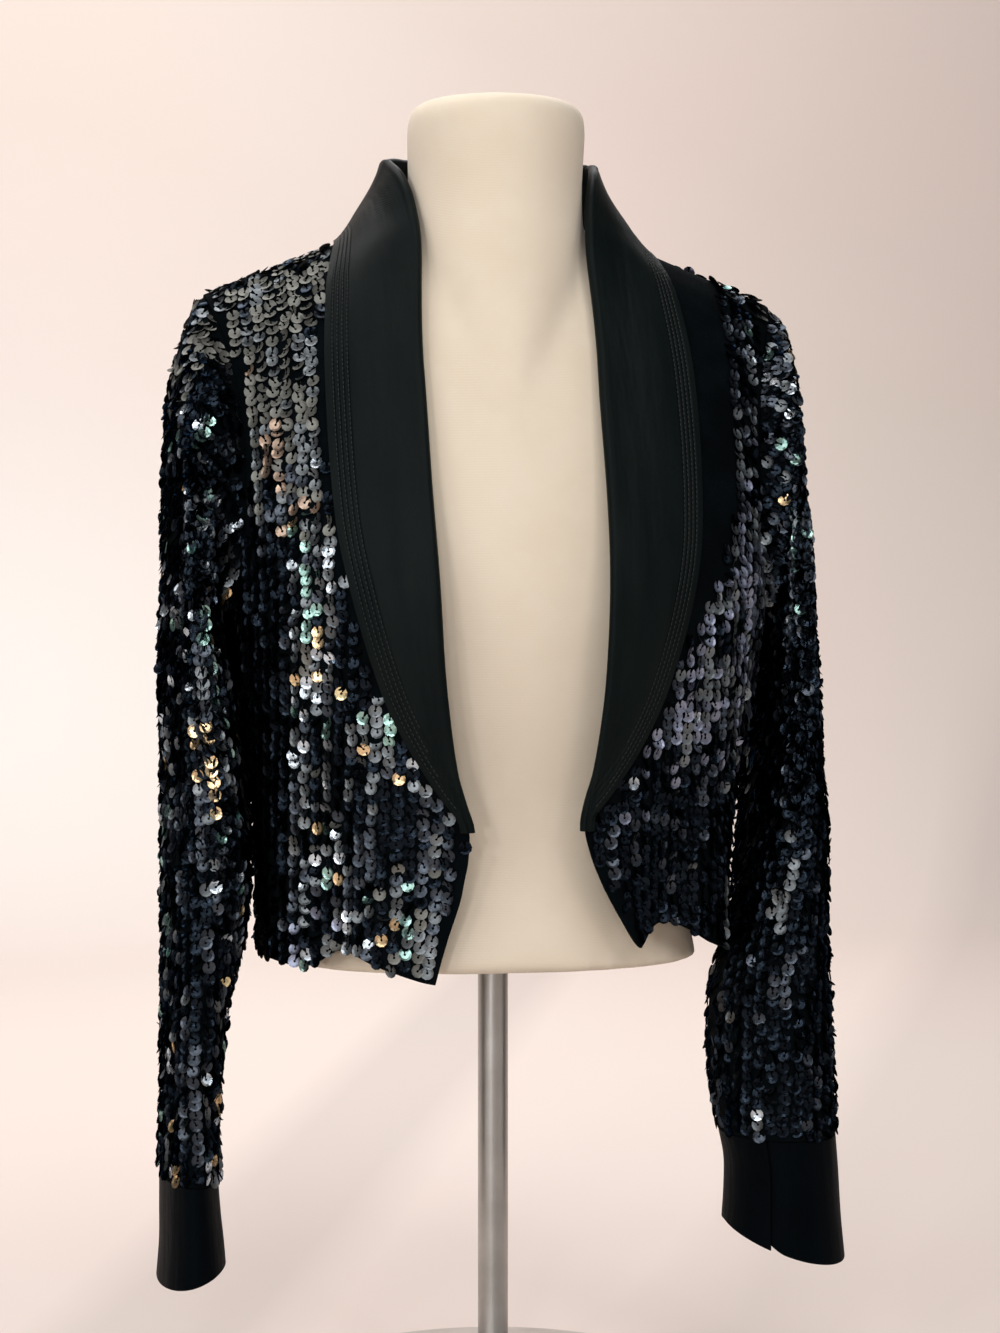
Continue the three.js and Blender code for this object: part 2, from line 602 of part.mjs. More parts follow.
// Loops of points from top to bottom, with a fan over each open end. A loop that folds flat onto
// itself, as the shoulders' ridge does, closes by itself.
function loft(loops, capTop) {
  const count = loops[0].length;
  const points = loops.flat();
  const quads = [];
  for (let i = 0; i < loops.length - 1; i += 1) {
    for (let j = 0; j < count; j += 1) {
      const k = (j + 1) % count;
      quads.push([i * count + j, i * count + k, (i + 1) * count + k, (i + 1) * count + j]);
    }
  }
  const fan = (i, flip) => {
    const middle = loops[i].reduce((sum, p) => sum.add(p), vector(0, 0, 0)).divideScalar(count);
    const tip = points.push(middle) - 1;
    for (let j = 0; j < count; j += 1) {
      const [a, b] = [i * count + j, i * count + ((j + 1) % count)];
      quads.push(flip ? [b, a, tip] : [a, b, tip]);
    }
  };
  if (capTop) fan(0, true);
  fan(loops.length - 1, false);
  return toSolid(points, quads);
}

const BUST_AROUND = 36;
function bustForm() {
  const rows = [...spread(0, 5, 8), ...spread(5, BUST.length - 1, 12).slice(1)];
  const loops = rows.map((row) => {
    const halfWidth = smooth(BUST, 'row', 'halfWidth', row);
    const power = smooth(BUST, 'row', 'squareness', row);
    const ridge = smooth(BUST, 'row', 'ridge', row);
    return spread(0, 2 * Math.PI, BUST_AROUND).slice(1).map((angle) => {
      const across = Math.sign(Math.cos(angle)) * Math.abs(Math.cos(angle)) ** (2 / power);
      const way = Math.sin(angle) < 0 ? FRONT : BACK;
      const p = blockPoint(BUST, way, halfWidth * across, row);
      const onRidge = row === 0 || Math.abs(Math.sin(angle)) < 1e-9;
      if (onRidge) p.y = ridge;
      return p;
    });
  });
  const torso = withoutFlatTriangles(loft(loops, false));
  const neckLoops = spread(0, NECK.length - 1, 20).map((row) => {
    const at = (column) => smooth(NECK, 'row', column, row);
    const [middle, half] = [(at('front') + at('back')) / 2, (at('back') - at('front')) / 2];
    return spread(0, 2 * Math.PI, BUST_AROUND).slice(1).map((angle) =>
      vector(at('halfWidth') * Math.cos(angle), middle + half * Math.sin(angle), at('height')),
    );
  });
  const neck = loft(neckLoops.reverse(), true);
  const socket = new THREE.CylinderGeometry(POLE_RADIUS + SEAM, POLE_RADIUS + SEAM, 2 * POLE_SINK, 24);
  socket.deleteAttribute('normal').deleteAttribute('uv');
  socket.rotateX(Math.PI / 2).translate(0, 0, BUST_BOTTOM);
  return fromManifold(toManifold(torso).add(toManifold(neck)).subtract(toManifold(socket)));
}

// Along the ridge two corners of a triangle can be one point: such a triangle is left out.
function withoutFlatTriangles(geometry) {
  const index = Array.from(geometry.index.array);
  const kept = [];
  for (let k = 0; k < index.length; k += 3) {
    const [a, b, c] = index.slice(k, k + 3);
    if (a !== b && b !== c && c !== a) kept.push(a, b, c);
  }
  geometry.setIndex(kept);
  return geometry;
}

function standPole() {
  const height = BUST_BOTTOM + POLE_SINK - SEAM - BASE_HEIGHT - SEAM;
  const pole = new THREE.CylinderGeometry(POLE_RADIUS, POLE_RADIUS, height, 24);
  pole.rotateX(Math.PI / 2).translate(0, 0, BASE_HEIGHT + SEAM + height / 2);
  return pole;
}

function standBase() {
  const profile = [
    [0, 0], [BASE_RADIUS - 1, 0], [BASE_RADIUS, 1], [BASE_RADIUS, 5], [BASE_RADIUS - 2, 7],
    [POLE_RADIUS + 14, BASE_HEIGHT], [0, BASE_HEIGHT],
  ];
  const base = new THREE.LatheGeometry(profile.map(([r, z]) => new THREE.Vector2(r, z)), 48);
  return base.rotateX(Math.PI / 2);
}

// ---------------------------------------------------------------- the object
const sequins = new THREE.MeshStandardMaterial({ color: 0x15171a, roughness: 0.25, metalness: 0.6 });
const satin = new THREE.MeshStandardMaterial({ color: 0x0d1110, roughness: 0.55, metalness: 0 });
const linen = new THREE.MeshStandardMaterial({ color: 0xe4d8c4, roughness: 0.9, metalness: 0 });
const metal = new THREE.MeshStandardMaterial({ color: 0xb9b6b0, roughness: 0.35, metalness: 1 });

const bolero = new THREE.Group();
function add(name, geometry, material) {
  const mesh = new THREE.Mesh(geometry, material);
  mesh.name = name;
  bolero.add(mesh);
}

add('base', standBase(), metal);
add('pole', standPole(), metal);
add('bust_form', bustForm(), linen);
add('back', backPanel(), sequins);
[['left', 1], ['right', -1]].forEach(([name, side]) => {
  add(`front_${name}`, frontPanel(name, side), sequins);
  add(`sleeve_${name}`, sleeve(name, side), sequins);
  add(`cuff_${name}`, cuff(name, side), satin);
  add(`collar_${name}`, collarHalf(name, side), satin);
});

export default bolero;
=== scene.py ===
# %% [markdown]
# # A sequinned bolero on a dress form
# The jacket is a short evening bolero: black cloth covered with cup sequins, a satin shawl collar
# and satin cuffs. It hangs open on a cream dress form. The solid model is loaded first and is never
# changed. Every soft piece below is a finer surface from the same measurements.
# %% Load the solid model
import math

import bpy
import numpy as np
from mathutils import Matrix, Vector


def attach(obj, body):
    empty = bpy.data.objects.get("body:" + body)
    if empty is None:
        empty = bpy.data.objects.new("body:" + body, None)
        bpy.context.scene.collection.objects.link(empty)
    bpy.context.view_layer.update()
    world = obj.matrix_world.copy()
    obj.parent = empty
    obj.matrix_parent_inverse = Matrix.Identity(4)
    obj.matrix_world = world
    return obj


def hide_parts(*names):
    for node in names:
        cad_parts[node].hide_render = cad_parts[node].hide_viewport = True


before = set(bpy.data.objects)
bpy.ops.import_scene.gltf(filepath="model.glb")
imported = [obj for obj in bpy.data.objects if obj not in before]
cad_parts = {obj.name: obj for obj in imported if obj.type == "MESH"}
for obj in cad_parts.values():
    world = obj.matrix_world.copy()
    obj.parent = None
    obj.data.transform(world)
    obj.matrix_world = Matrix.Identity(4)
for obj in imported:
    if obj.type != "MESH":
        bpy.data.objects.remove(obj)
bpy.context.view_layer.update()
print("solids:", sorted(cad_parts))

# %% [markdown]
# Shapes are worked out in millimetres and scaled once, when they become meshes. The wearer's left
# side is +X and the front faces -Y.
# %% Sizes and sides
MM = 0.001
FRONT, BACK = -1, 1
WAY_NAMES = {FRONT: "front", BACK: "back"}
SIDES = {"left": 1, "right": -1}
CLOTH, SATIN, SEAM = 2.0, 1.6, 0.3
SHOULDER_X, NECK_X = 180, 63
UNDERARM_ROW, WAIST_ROW, HEM_ROW = 9, 12, 13

# %% [markdown]
# The camera stands a little to the left of the middle, level with the chest. Its frame is 840 mm
# high at the jacket, 1.8 m away, so the lens is long and shows little perspective.
# %% Camera
CAMERA_PLACE = Vector((-0.3126, -1.7727, 0.5))
CAMERA_AIM = Vector((0.0044, -0.0008, 0.458))
FRAME_HEIGHT = 0.84
SENSOR = 36.0


def add_object(name, data, place=(0, 0, 0), aim=None):
    """A new object of the scene, which faces a point if one is given."""
    made = bpy.data.objects.new(name, data)
    made.location = place
    if aim is not None:
        made.rotation_euler = (Vector(aim) - Vector(place)).to_track_quat("-Z", "Y").to_euler()
    bpy.context.scene.collection.objects.link(made)
    return made


camera_data = bpy.data.cameras.new("camera")
camera_data.sensor_width = SENSOR
camera_data.lens = SENSOR * (CAMERA_AIM - CAMERA_PLACE).length / FRAME_HEIGHT
bpy.context.scene.camera = add_object("camera", camera_data, CAMERA_PLACE, CAMERA_AIM)
print("lens:", round(camera_data.lens, 2), "mm")

# %% [markdown]
# A pattern maker writes a garment as tables of measurements. Each table here has a name for every
# column, and a smooth curve through a column gives its value at any height between two rows.
# %% Tables and curves
def table(columns, rows):
    """Rows of numbers as named columns; the column called row counts them."""
    values = np.array(rows, float)
    named = dict(zip(columns.split(), values.T))
    named["row"] = np.arange(len(values), dtype=float)
    return named


def smooth(rows, key, column, at):
    """The value of a column where the key column is at. Between two rows it is an S-shaped blend of
    their values, plus a bend that gives each row the slope of the line between its neighbours."""
    keys, values = rows[key], rows[column]
    before = np.maximum(np.arange(len(keys)) - 1, 0)
    after = np.minimum(np.arange(len(keys)) + 1, len(keys) - 1)
    slopes = (values[after] - values[before]) / (keys[after] - keys[before])
    at = np.asarray(at, float)
    k = np.clip(np.searchsorted(keys, at) - 1, 0, len(keys) - 2)
    span = keys[k + 1] - keys[k]
    t = np.clip((at - keys[k]) / span, 0, 1)
    ease = t * t * (3 - 2 * t)
    bend = t * (1 - t) * span * ((1 - t) * slopes[k] - t * slopes[k + 1])
    return values[k] * (1 - ease) + values[k + 1] * ease + bend


def by_row(rows, row, *columns):
    """The values of some columns at fractional rows of a table."""
    return [smooth(rows, "row", column, row) for column in columns]


def step(start, end, at):
    """0 before start, 1 after end, and an S-shaped rise between them."""
    t = np.clip((np.asarray(at, float) - start) / (end - start), 0, 1)
    return t * t * (3 - 2 * t)


def unit(v):
    """Vectors of length 1 in the same directions."""
    return v / np.maximum(np.linalg.norm(v, axis=-1, keepdims=True), 1e-9)


def points(x, y, z):
    """Three arrays of coordinates as one array of points."""
    return np.stack(np.broadcast_arrays(x, y, z), axis=-1).astype(float)


def steps(p, axis=0):
    """The distance from each point of a grid to the next one along an axis."""
    return np.linalg.norm(np.diff(p, axis=axis), axis=-1)


def lengths(p, axis=0):
    """The distance along a grid's rows or columns from their first point: the sum of the steps."""
    return np.cumsum(np.insert(steps(p, axis), 0, 0, axis=axis), axis=axis)


def circle(count, start=0):
    """Angles of points that are spaced evenly round a circle."""
    return 2 * math.pi * (np.arange(count) + start) / count


# %% [markdown]
# The body of the jacket is a block: level slices from the shoulder to the hem, each one a rounded
# oblong. The table gives the height, the half width and the depths in front of and behind the
# ridge. The second block is the dress form inside it.
# %% The blocks
BLOCK_COLUMNS = "height lift halfWidth front back squareness ridge"
BLOCK = table(BLOCK_COLUMNS, [
    [688, 72, 196, 0, 0, 3.0, 15],
    [685, 71, 196, 16, 16, 3.0, 15],
    [679, 69, 195, 30, 30, 2.9, 15],
    [668, 64, 192, 46, 45, 2.8, 14],
    [648, 54, 187, 64, 60, 2.7, 13],
    [620, 40, 181, 83, 74, 2.6, 11],
    [585, 26, 176, 101, 86, 2.5, 9],
    [545, 12, 172, 117, 95, 2.4, 6],
    [515, 4, 170, 126, 99, 2.35, 4],
    [485, 0, 167, 127, 100, 2.3, 2],
    [440, 0, 160, 121, 99, 2.25, 0],
    [390, 0, 152, 113, 97, 2.2, 0],
    [340, 0, 147, 107, 97, 2.2, 0],
    [284, 0, 146, 106, 99, 2.2, 0],
])
BUST_BOTTOM = 274
BUST = table(BLOCK_COLUMNS, [
    [687.2, 72, 179.6, 0, 0, 3.0, 15],
    [684.2, 71, 179.6, 14.5, 14.5, 3.0, 15],
    [678, 69, 179, 28, 28, 2.9, 15],
    [667, 64, 177, 43.5, 42.5, 2.8, 14],
    [647, 54, 171, 61, 57, 2.7, 13],
    [619, 40, 163, 79, 70, 2.6, 11],
    [585, 26, 157, 95, 81, 2.4, 9],
    [545, 12, 153, 108, 89, 2.3, 6],
    [515, 4, 150, 112, 92, 2.25, 4],
    [485, 0, 146, 109, 92, 2.2, 2],
    [440, 0, 136, 99, 88, 2.2, 0],
    [390, 0, 124, 88, 80, 2.2, 0],
    [345, 0, 118, 82, 76, 2.2, 0],
    [305, 0, 123, 86, 82, 2.2, 0],
    [BUST_BOTTOM, 0, 130, 88, 83.5, 2.2, 0],
])
ARMHOLE = table("x", [
    [180], [179.5], [178], [174], [168], [163], [160], [160.5], [163], [167],
])
print("block rows:", len(BLOCK["row"]), "form rows:", len(BUST["row"]))

# %% [markdown]
# Hanging cloth falls into soft folds that grow towards the hem, and the hem waves. Each fold is one
# line of a table: its bearing, its width, how far out it comes and between which heights it grows.
# %% Folds and hem
BODY_FOLDS = table("bearing spread out top bottom", [
    [-76, 9, 4.0, 470, 300], [-58, 8, -4.0, 480, 300], [-41, 7, 4.5, 460, 290],
    [-30, 6, -2.5, 420, 290],
    [33, 6, 3.0, 430, 290], [47, 8, -4.0, 470, 300], [63, 8, 4.0, 480, 300],
    [104, 9, -3.0, 500, 300], [122, 8, 4.5, 520, 290], [143, 9, -4.0, 500, 290],
    [163, 9, 4.0, 480, 290],
    [-176, 7, -3.0, 470, 290], [-158, 9, 4.5, 500, 290], [-136, 9, -4.0, 520, 290],
    [-114, 9, 3.5, 500, 300], [-20, 9, 2.5, 640, 520], [24, 9, 2.5, 640, 520],
])
HEM_WAVE = table("bearing rise", [
    [-180, 5], [-150, 7], [-120, 3], [-90, 0], [-76, -2], [-64, -4.5], [-54, 6], [-43, -2],
    [-30, -12], [-15, -12], [15, -2], [33, 1], [37, 6], [42, 18], [47, 20.5], [54, 15.5], [62, 5],
    [74, -1], [90, 0], [120, 4], [150, 7], [180, 5],
])


def block_point(block, way, x, row):
    """A point of a block. Its height falls from the neck to the shoulder's end. Its depth is the
    rounded oblong's: depth times (1 - (x / half width) ** power) ** (1 / power)."""
    half, power, height, lift, ridge, depth = by_row(
        block, row, "halfWidth", "squareness", "height", "lift", "ridge", WAY_NAMES[way]
    )
    across = np.minimum(1, np.abs(x) / half)
    depth = np.maximum(SEAM / 2, depth * (1 - across**power) ** (1 / power))
    return points(x, ridge + way * depth, height + lift * (1 - np.abs(x) / SHOULDER_X))


def level_out(way, x, row):
    """Straight out from the rounded oblong, level: the slope of its formula along x and y."""
    power, half, depth = by_row(BLOCK, row, "squareness", "halfWidth", WAY_NAMES[way])
    across = np.minimum(1, np.abs(x) / half)
    x_slope = np.sign(x) * across ** (power - 1) / half
    y_slope = way * (1 - across**power) ** ((power - 1) / power) / np.maximum(1, depth)
    return unit(points(x_slope, y_slope, 0))


def bearing_of(p):
    """Degrees from the middle front: +90 at the wearer's left, 180 at the middle of the back."""
    return np.degrees(np.arctan2(p[..., 0], -p[..., 1]))


def bells(folds, degrees, hump):
    """The sum of the folds' bell curves, exp(-(degrees / spread) ** 2), each times its hump."""
    off = (degrees + 540) % 360 - 180
    return np.sum(folds["out"] * np.exp(-((off / folds["spread"]) ** 2)) * hump, axis=-1)


def fold_of(p):
    """How far the folds push a point out. Each one rises down the jacket."""
    rise = step(BODY_FOLDS["top"], BODY_FOLDS["bottom"], p[..., 2:])
    return bells(BODY_FOLDS, bearing_of(p)[..., None] - BODY_FOLDS["bearing"], rise)


def body_point(way, x, row):
    """The inside of the jacket: the block, moved out by its folds, with the hem's wave."""
    p = block_point(BLOCK, way, x, row)
    rise = smooth(HEM_WAVE, "bearing", "rise", bearing_of(p))
    p = p + level_out(way, x, row) * fold_of(p)[..., None]
    p[..., 2] += rise * np.maximum(0, row - WAIST_ROW) ** 2
    return p


def outward_at(way, x, row):
    """Square out from the jacket: the cross product of two short steps along it."""
    up, down = body_point(way, x, np.maximum(0, row - 0.15)), body_point(way, x, row + 0.15)
    across = body_point(way, x + 1, row) - body_point(way, x - 1, row)
    out = way * np.cross(across, down - up)
    out[..., 1] = np.where(np.asarray(row) == 0, 0, out[..., 1])
    return unit(out)


# %% [markdown]
# A cloth piece is two grids of points, its inside and its outside, joined along the edges into one
# closed shell. Each corner also gets a UV place in metres of cloth, so that a weave can be given at
# its real size.
# %% Grids to meshes
def looped(grid):
    """A grid with its first column once more after its last one."""
    return np.concatenate([grid, grid[:, :1]], axis=1)


def grid_normals(grid, ring=False):
    """Unit normals of a grid by differences along its rows and columns."""
    if ring:
        across = np.roll(grid, -1, axis=1) - np.roll(grid, 1, axis=1)
    else:
        across = np.gradient(grid, axis=1)
    return unit(np.cross(across, np.gradient(grid, axis=0)))


def cloth_places(grid):
    """UV places in metres: the lengths along each row and down each column, from a corner."""
    across, down = steps(grid, 1).mean(axis=0), steps(grid).mean(axis=1)
    u, v = np.append(0, np.cumsum(across)), np.append(0, np.cumsum(down))
    return np.stack(np.meshgrid(u, v), axis=-1) * MM


def quads(index):
    """The faces of a grid of point numbers, four corners each."""
    corners = (index[:-1, :-1], index[:-1, 1:], index[1:, 1:], index[1:, :-1])
    return np.stack([c.ravel() for c in corners], axis=1)


def make_piece(name, place, faces, uv=None, sharp=60):
    """A mesh object from points in millimetres, face arrays and one UV place per corner."""
    mesh = bpy.data.meshes.new(name)
    corners = np.concatenate([f.ravel() for f in faces])
    sizes = np.concatenate([np.full(len(f), f.shape[1]) for f in faces])
    mesh.vertices.add(len(place))
    mesh.vertices.foreach_set("co", (place * MM).astype(np.float32).ravel())
    mesh.loops.add(len(corners))
    mesh.loops.foreach_set("vertex_index", corners.astype(np.int32))
    mesh.polygons.add(len(sizes))
    mesh.polygons.foreach_set("loop_start", np.append(0, np.cumsum(sizes)[:-1]).astype(np.int32))
    if uv is not None:
        layer = mesh.uv_layers.new(name="cloth")
        layer.data.foreach_set("uv", uv.astype(np.float32).ravel())
    mesh.update(calc_edges=True)
    mesh.validate()
    mesh.polygons.foreach_set("use_smooth", np.ones(len(mesh.polygons), bool))
    if sharp:
        mesh.set_sharp_from_angle(angle=math.radians(sharp))
    return add_object(name, mesh)


def shell(name, inner, outer, ring=False, every=1):
    """A closed wall between two grids of one size. ring joins the last column to the first, and
    every = 2 leaves out each second row and column."""
    inner, outer = inner[::every, ::every], outer[::every, ::every]
    place = np.concatenate([inner.reshape(-1, 3), outer.reshape(-1, 3)])
    number = np.arange(len(place)).reshape(2, *inner.shape[:2])
    if ring:
        number, outer = np.stack([looped(layer) for layer in number]), looped(outer)
    uv = np.stack([cloth_places(outer)] * 2)
    walls = [
        (number[1], uv[1], 1), (number[0], uv[0], -1),
        (number[:, 0], uv[:, 0], 1), (number[:, -1], uv[:, -1], -1),
    ]
    if not ring:
        walls += [(number[:, :, 0], uv[:, :, 0], -1), (number[:, :, -1], uv[:, :, -1], 1)]
    faces, places = [], []
    for wall, wall_uv, turn in walls:
        corners = quads(np.arange(wall.size).reshape(wall.shape))[:, ::turn]
        faces.append(wall.ravel()[corners])
        places.append(wall_uv.reshape(-1, 2)[corners])
    a, b, c = (place[np.concatenate(faces[:2])[:, k]] for k in range(3))
    if np.sum(a * np.cross(b, c)) < 0:  # the volume's sign: the faces look inward
        faces, places = ([f[:, ::-1] for f in arrays] for arrays in (faces, places))
    return make_piece(name, place, faces, np.concatenate([p.reshape(-1, 2) for p in places]))


def settle(made, material, node=None):
    """Gives a piece its material and body, and hides the solid that it stands for, if any."""
    made.data.materials.append(material)
    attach(made, "root")
    if node:
        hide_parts(node)


# %% [markdown]
# Shader maths reads best as ordinary sums. This small class holds one socket of a material. Adding,
# subtracting or multiplying it makes the Math node, and one method makes any other node.
# %% Material sums
def fill(socket, value):
    """Links a wire to a socket, or sets a constant on it."""
    if isinstance(value, Wire):
        value.tree.links.new(value.socket, socket)
    else:
        socket.default_value = value


class Wire:
    """A socket of a shader tree that can be used in sums."""

    def __init__(self, tree, socket=None):
        self.tree, self.socket = tree, socket

    def node(self, kind, settings=None, sockets=None, out=0):
        """A new node: its settings are set first, then its sockets are filled or linked."""
        made = self.tree.nodes.new(kind)
        for key, value in (settings or {}).items():
            setattr(made, key, value)
        for key, value in (sockets or {}).items():
            fill(made.inputs[key], value)
        return Wire(self.tree, made.outputs[out])

    def math(self, operation, *values):
        return self.node("ShaderNodeMath", {"operation": operation}, dict(enumerate(values)))

    def __add__(self, other):
        return self.math("ADD", self, other)

    def __mul__(self, other):
        return self.math("MULTIPLY", self, other)

    def __sub__(self, other):
        return self.math("SUBTRACT", self, other)

    def __rsub__(self, other):
        return self.math("SUBTRACT", other, self)

    __radd__, __rmul__ = __add__, __mul__


def new_material(name):
    """A material, its surface shader, and places on the object, in metres, to start sums from."""
    material = bpy.data.materials.new(name)
    material.use_nodes = True
    tree = material.node_tree
    return material, tree.nodes["Principled BSDF"], Wire(tree).node("ShaderNodeTexCoord", out=3)


def feed(shader, **values):
    """Fills the surface shader's sockets. A name with an underscore stands for one with a space."""
    for key, value in values.items():
        fill(shader.inputs[key.replace("_", " ")], value)


# %% Material helpers
def mixed(share, first, second):
    """A colour that goes from the first to the second as share goes from 0 to 1."""
    sockets = {0: share, 6: first, 7: second}
    return share.node("ShaderNodeMix", {"data_type": "RGBA"}, sockets, out=2)


def noise(where, scale, detail=2.0, roughness=0.5):
    """Soft random patches, a scale of them to the metre, from 0 to 1."""
    sockets = {"Vector": where, "Scale": scale, "Detail": detail, "Roughness": roughness}
    return where.node("ShaderNodeTexNoise", None, sockets)


def bump(height, strength, distance):
    """The normal of a surface raised by height times distance, in metres."""
    sockets = {"Height": height, "Strength": strength, "Distance": distance}
    return height.node("ShaderNodeBump", None, sockets)


def contrast(value, low, high):
    """0 where a value is low or less, 1 where it is high or more."""
    sockets = {"Value": value, "From Min": low, "From Max": high}
    return value.node("ShaderNodeMapRange", {"clamp": True}, sockets)


def dot(where, direction):
    """How far along a direction each place lies: the dot product of the two."""
    settings, sockets = {"operation": "DOT_PRODUCT"}, {0: where, 1: direction}
    return where.node("ShaderNodeVectorMath", settings, sockets, out=1)


# %% [markdown]
# A plain weave is two sine waves at right angles on the cloth's own UV places, and a satin is one
# wave set aslant. Both only tilt the surface a little, which is enough to break up the light.
# %% Weaves
def waves(where, pitch, turn=0.0):
    """Parallel ridges, one to each pitch in metres, turned by an angle: (1 + sine) / 2."""
    along = dot(where, (math.cos(turn) / pitch, math.sin(turn) / pitch, 0)) * (2 * math.pi)
    return along.math("SINE", along) * 0.5 + 0.5


# %% [markdown]
# The sequins hide most of the cloth that they are sewn to. It shows at the edges, inside the
# jacket and in the gaps: a matt black cloth with a fine knit grain.
# %% Backing cloth
def make_backing():
    material, shader, place = new_material("backing_cloth")
    uv = place.node("ShaderNodeUVMap", {"uv_map": "cloth"})
    grain = waves(uv, 0.0011) * waves(uv, 0.0014, math.pi / 2)
    patches = noise(place, 38, 3)
    share = contrast(patches, 0.35, 0.7)
    feed(
        shader, Base_Color=mixed(share, (0.0012, 0.0022, 0.0028, 1), (0.0026, 0.0042, 0.0052, 1)),
        Roughness=0.80 + 0.12 * patches, Specular_IOR_Level=0.02,
        Normal=bump(grain + 0.6 * noise(place, 900), 0.5, 0.0004),
    )
    return material


backing = make_backing()
print("made", backing.name)

# %% [markdown]
# A front panel runs from the roll line at its inner edge to the armhole and the side seam. Along
# the armhole the thickness of the cloth points away from the hole, so that the panel and the sleeve
# meet and do not cross.
# %% Edges of the panels
FRONT_EDGE = table("height left right", [
    [266, 80, 58], [285, 71.5, 52], [302, 62, 45.8], [322, 51, 38], [334, 45.3, 35.5],
    [346, 40.5, 33.5], [364, 36, 33.5], [380, 38, 38.5], [399, 43, 44], [441, 48.5, 51],
    [476, 50.5, 54.5], [559, 53, 58.5], [618, 54.5, 60], [650, 56.5, 61], [680, 59, 62],
    [700, 60.5, 62.5], [718, 62, 63], [735, 63, 63], [760, 63, 63],
])
COLLAR_EDGE = table("height x", [
    [364, 35.5], [372, 41], [387, 52], [417, 71], [447, 85], [500, 101], [547, 109.5],
    [632, 112.5], [687, 108.5], [709, 102.5], [728, 95], [760, 91],
])
NECKLINE = table("seamX seamRow", [[0, 2.6], [28, 2.1], [49, 1.2], [60, 0.42], [NECK_X, 0]])
ARMHOLE_MIDDLE = np.array([0, 4, 598.0])
SEAM_TURN, FAR = 12, 99  # distances from an armhole


def outer_x(row):
    """x of a panel's outer edge: the armhole above the underarm, the side seam below it."""
    armhole, side_seam = by_row(ARMHOLE, row, "x")[0], by_row(BLOCK, row, "halfWidth")[0]
    return np.where(row < UNDERARM_ROW, armhole, side_seam)


def edge_x(rows, column, row):
    """x of an edge that its table gives by height, at a row of the block. Height depends a little
    on x, so x is worked out again until it settles."""
    height, lift = by_row(BLOCK, row, "height", "lift")
    x = np.full_like(height, float(NECK_X))
    for _ in range(6):
        x = smooth(rows, "height", column, height + lift * (1 - x / SHOULDER_X))
    return x


def underarm_share(row):
    """0 round the armhole, 1 under the arm."""
    return step(7.2, UNDERARM_ROW, row)


def seam_direction(p, row, sideways):
    """Across an armhole seam: away from the armhole's middle, and sideways under the arm."""
    away = p - ARMHOLE_MIDDLE
    away[..., 0] = 0
    share = underarm_share(row)[..., None]
    return unit(away) * (1 - share) + share * np.array([sideways, 0, 0])


def panel_walls(way, x, row):
    """The inside and the outside of a panel. Near an armhole the way out turns into the seam's."""
    inner = body_point(way, x, row)
    normals = grid_normals(inner)
    normals = normals * np.sign(np.sum(normals[..., 1]) * way)
    room = (outer_x(row) - np.abs(x)) * (row <= UNDERARM_ROW) + FAR * (row > UNDERARM_ROW)
    near = step(SEAM_TURN, 0, room)
    side = np.sign(x[:, -1:]) if way == FRONT else np.sign(x)
    away = seam_direction(inner, row, 1.0) * (side != 0)[..., None]
    away[..., 0] *= side
    outward = unit(normals * (1 - near[..., None]) + away * near[..., None])
    return inner, inner + outward * CLOTH, normals


# %% [markdown]
# The back is one piece that starts on the neckline and runs right across. Every panel keeps its
# grid, because the sequins are strung along it later.
# %% Panels
PANEL_ROWS = np.concatenate([
    np.linspace(0, UNDERARM_ROW, 91), np.linspace(UNDERARM_ROW, HEM_ROW, 61)[1:],
])
FRONT_COLUMNS, BACK_COLUMNS = 52, 131
grids = {}


def front_places(name, side):
    """x and row of a front's grid: x goes from the roll line to the outer edge as a sine."""
    inner = edge_x(FRONT_EDGE, name, PANEL_ROWS)[:, None]
    outer = outer_x(PANEL_ROWS)[:, None]
    share = np.sin(np.linspace(0, math.pi / 2, FRONT_COLUMNS))[None, :]
    x = side * (inner + (outer - inner) * share)
    return x, np.broadcast_to(PANEL_ROWS[:, None], x.shape)


def back_places():
    """x and row of the back's grid: each column starts on the neckline and is scaled to the hem."""
    x = SHOULDER_X * np.sin(np.linspace(-math.pi / 2, math.pi / 2, BACK_COLUMNS))[None, :]
    reach = np.minimum(np.abs(x), NECK_X)
    top = np.maximum(0, smooth(NECKLINE, "seamX", "seamRow", reach))
    row = top + PANEL_ROWS[:, None] * (HEM_ROW - top) / HEM_ROW
    return x / SHOULDER_X * outer_x(row), row


def add_panel(name, way, x, row, every=1):
    inner, outer, normals = panel_walls(way, x, row)
    grids[name] = {"outer": outer, "normals": normals, "x": x, "row": row}
    return shell(name + "_cloth", inner, outer, every=every)


cloth = {"back": add_panel("back", BACK, *back_places(), every=2)}
for name, side in SIDES.items():
    cloth["front_" + name] = add_panel("front_" + name, FRONT, *front_places(name, side))
for name, made in cloth.items():
    print(name, "points:", len(made.data.vertices))

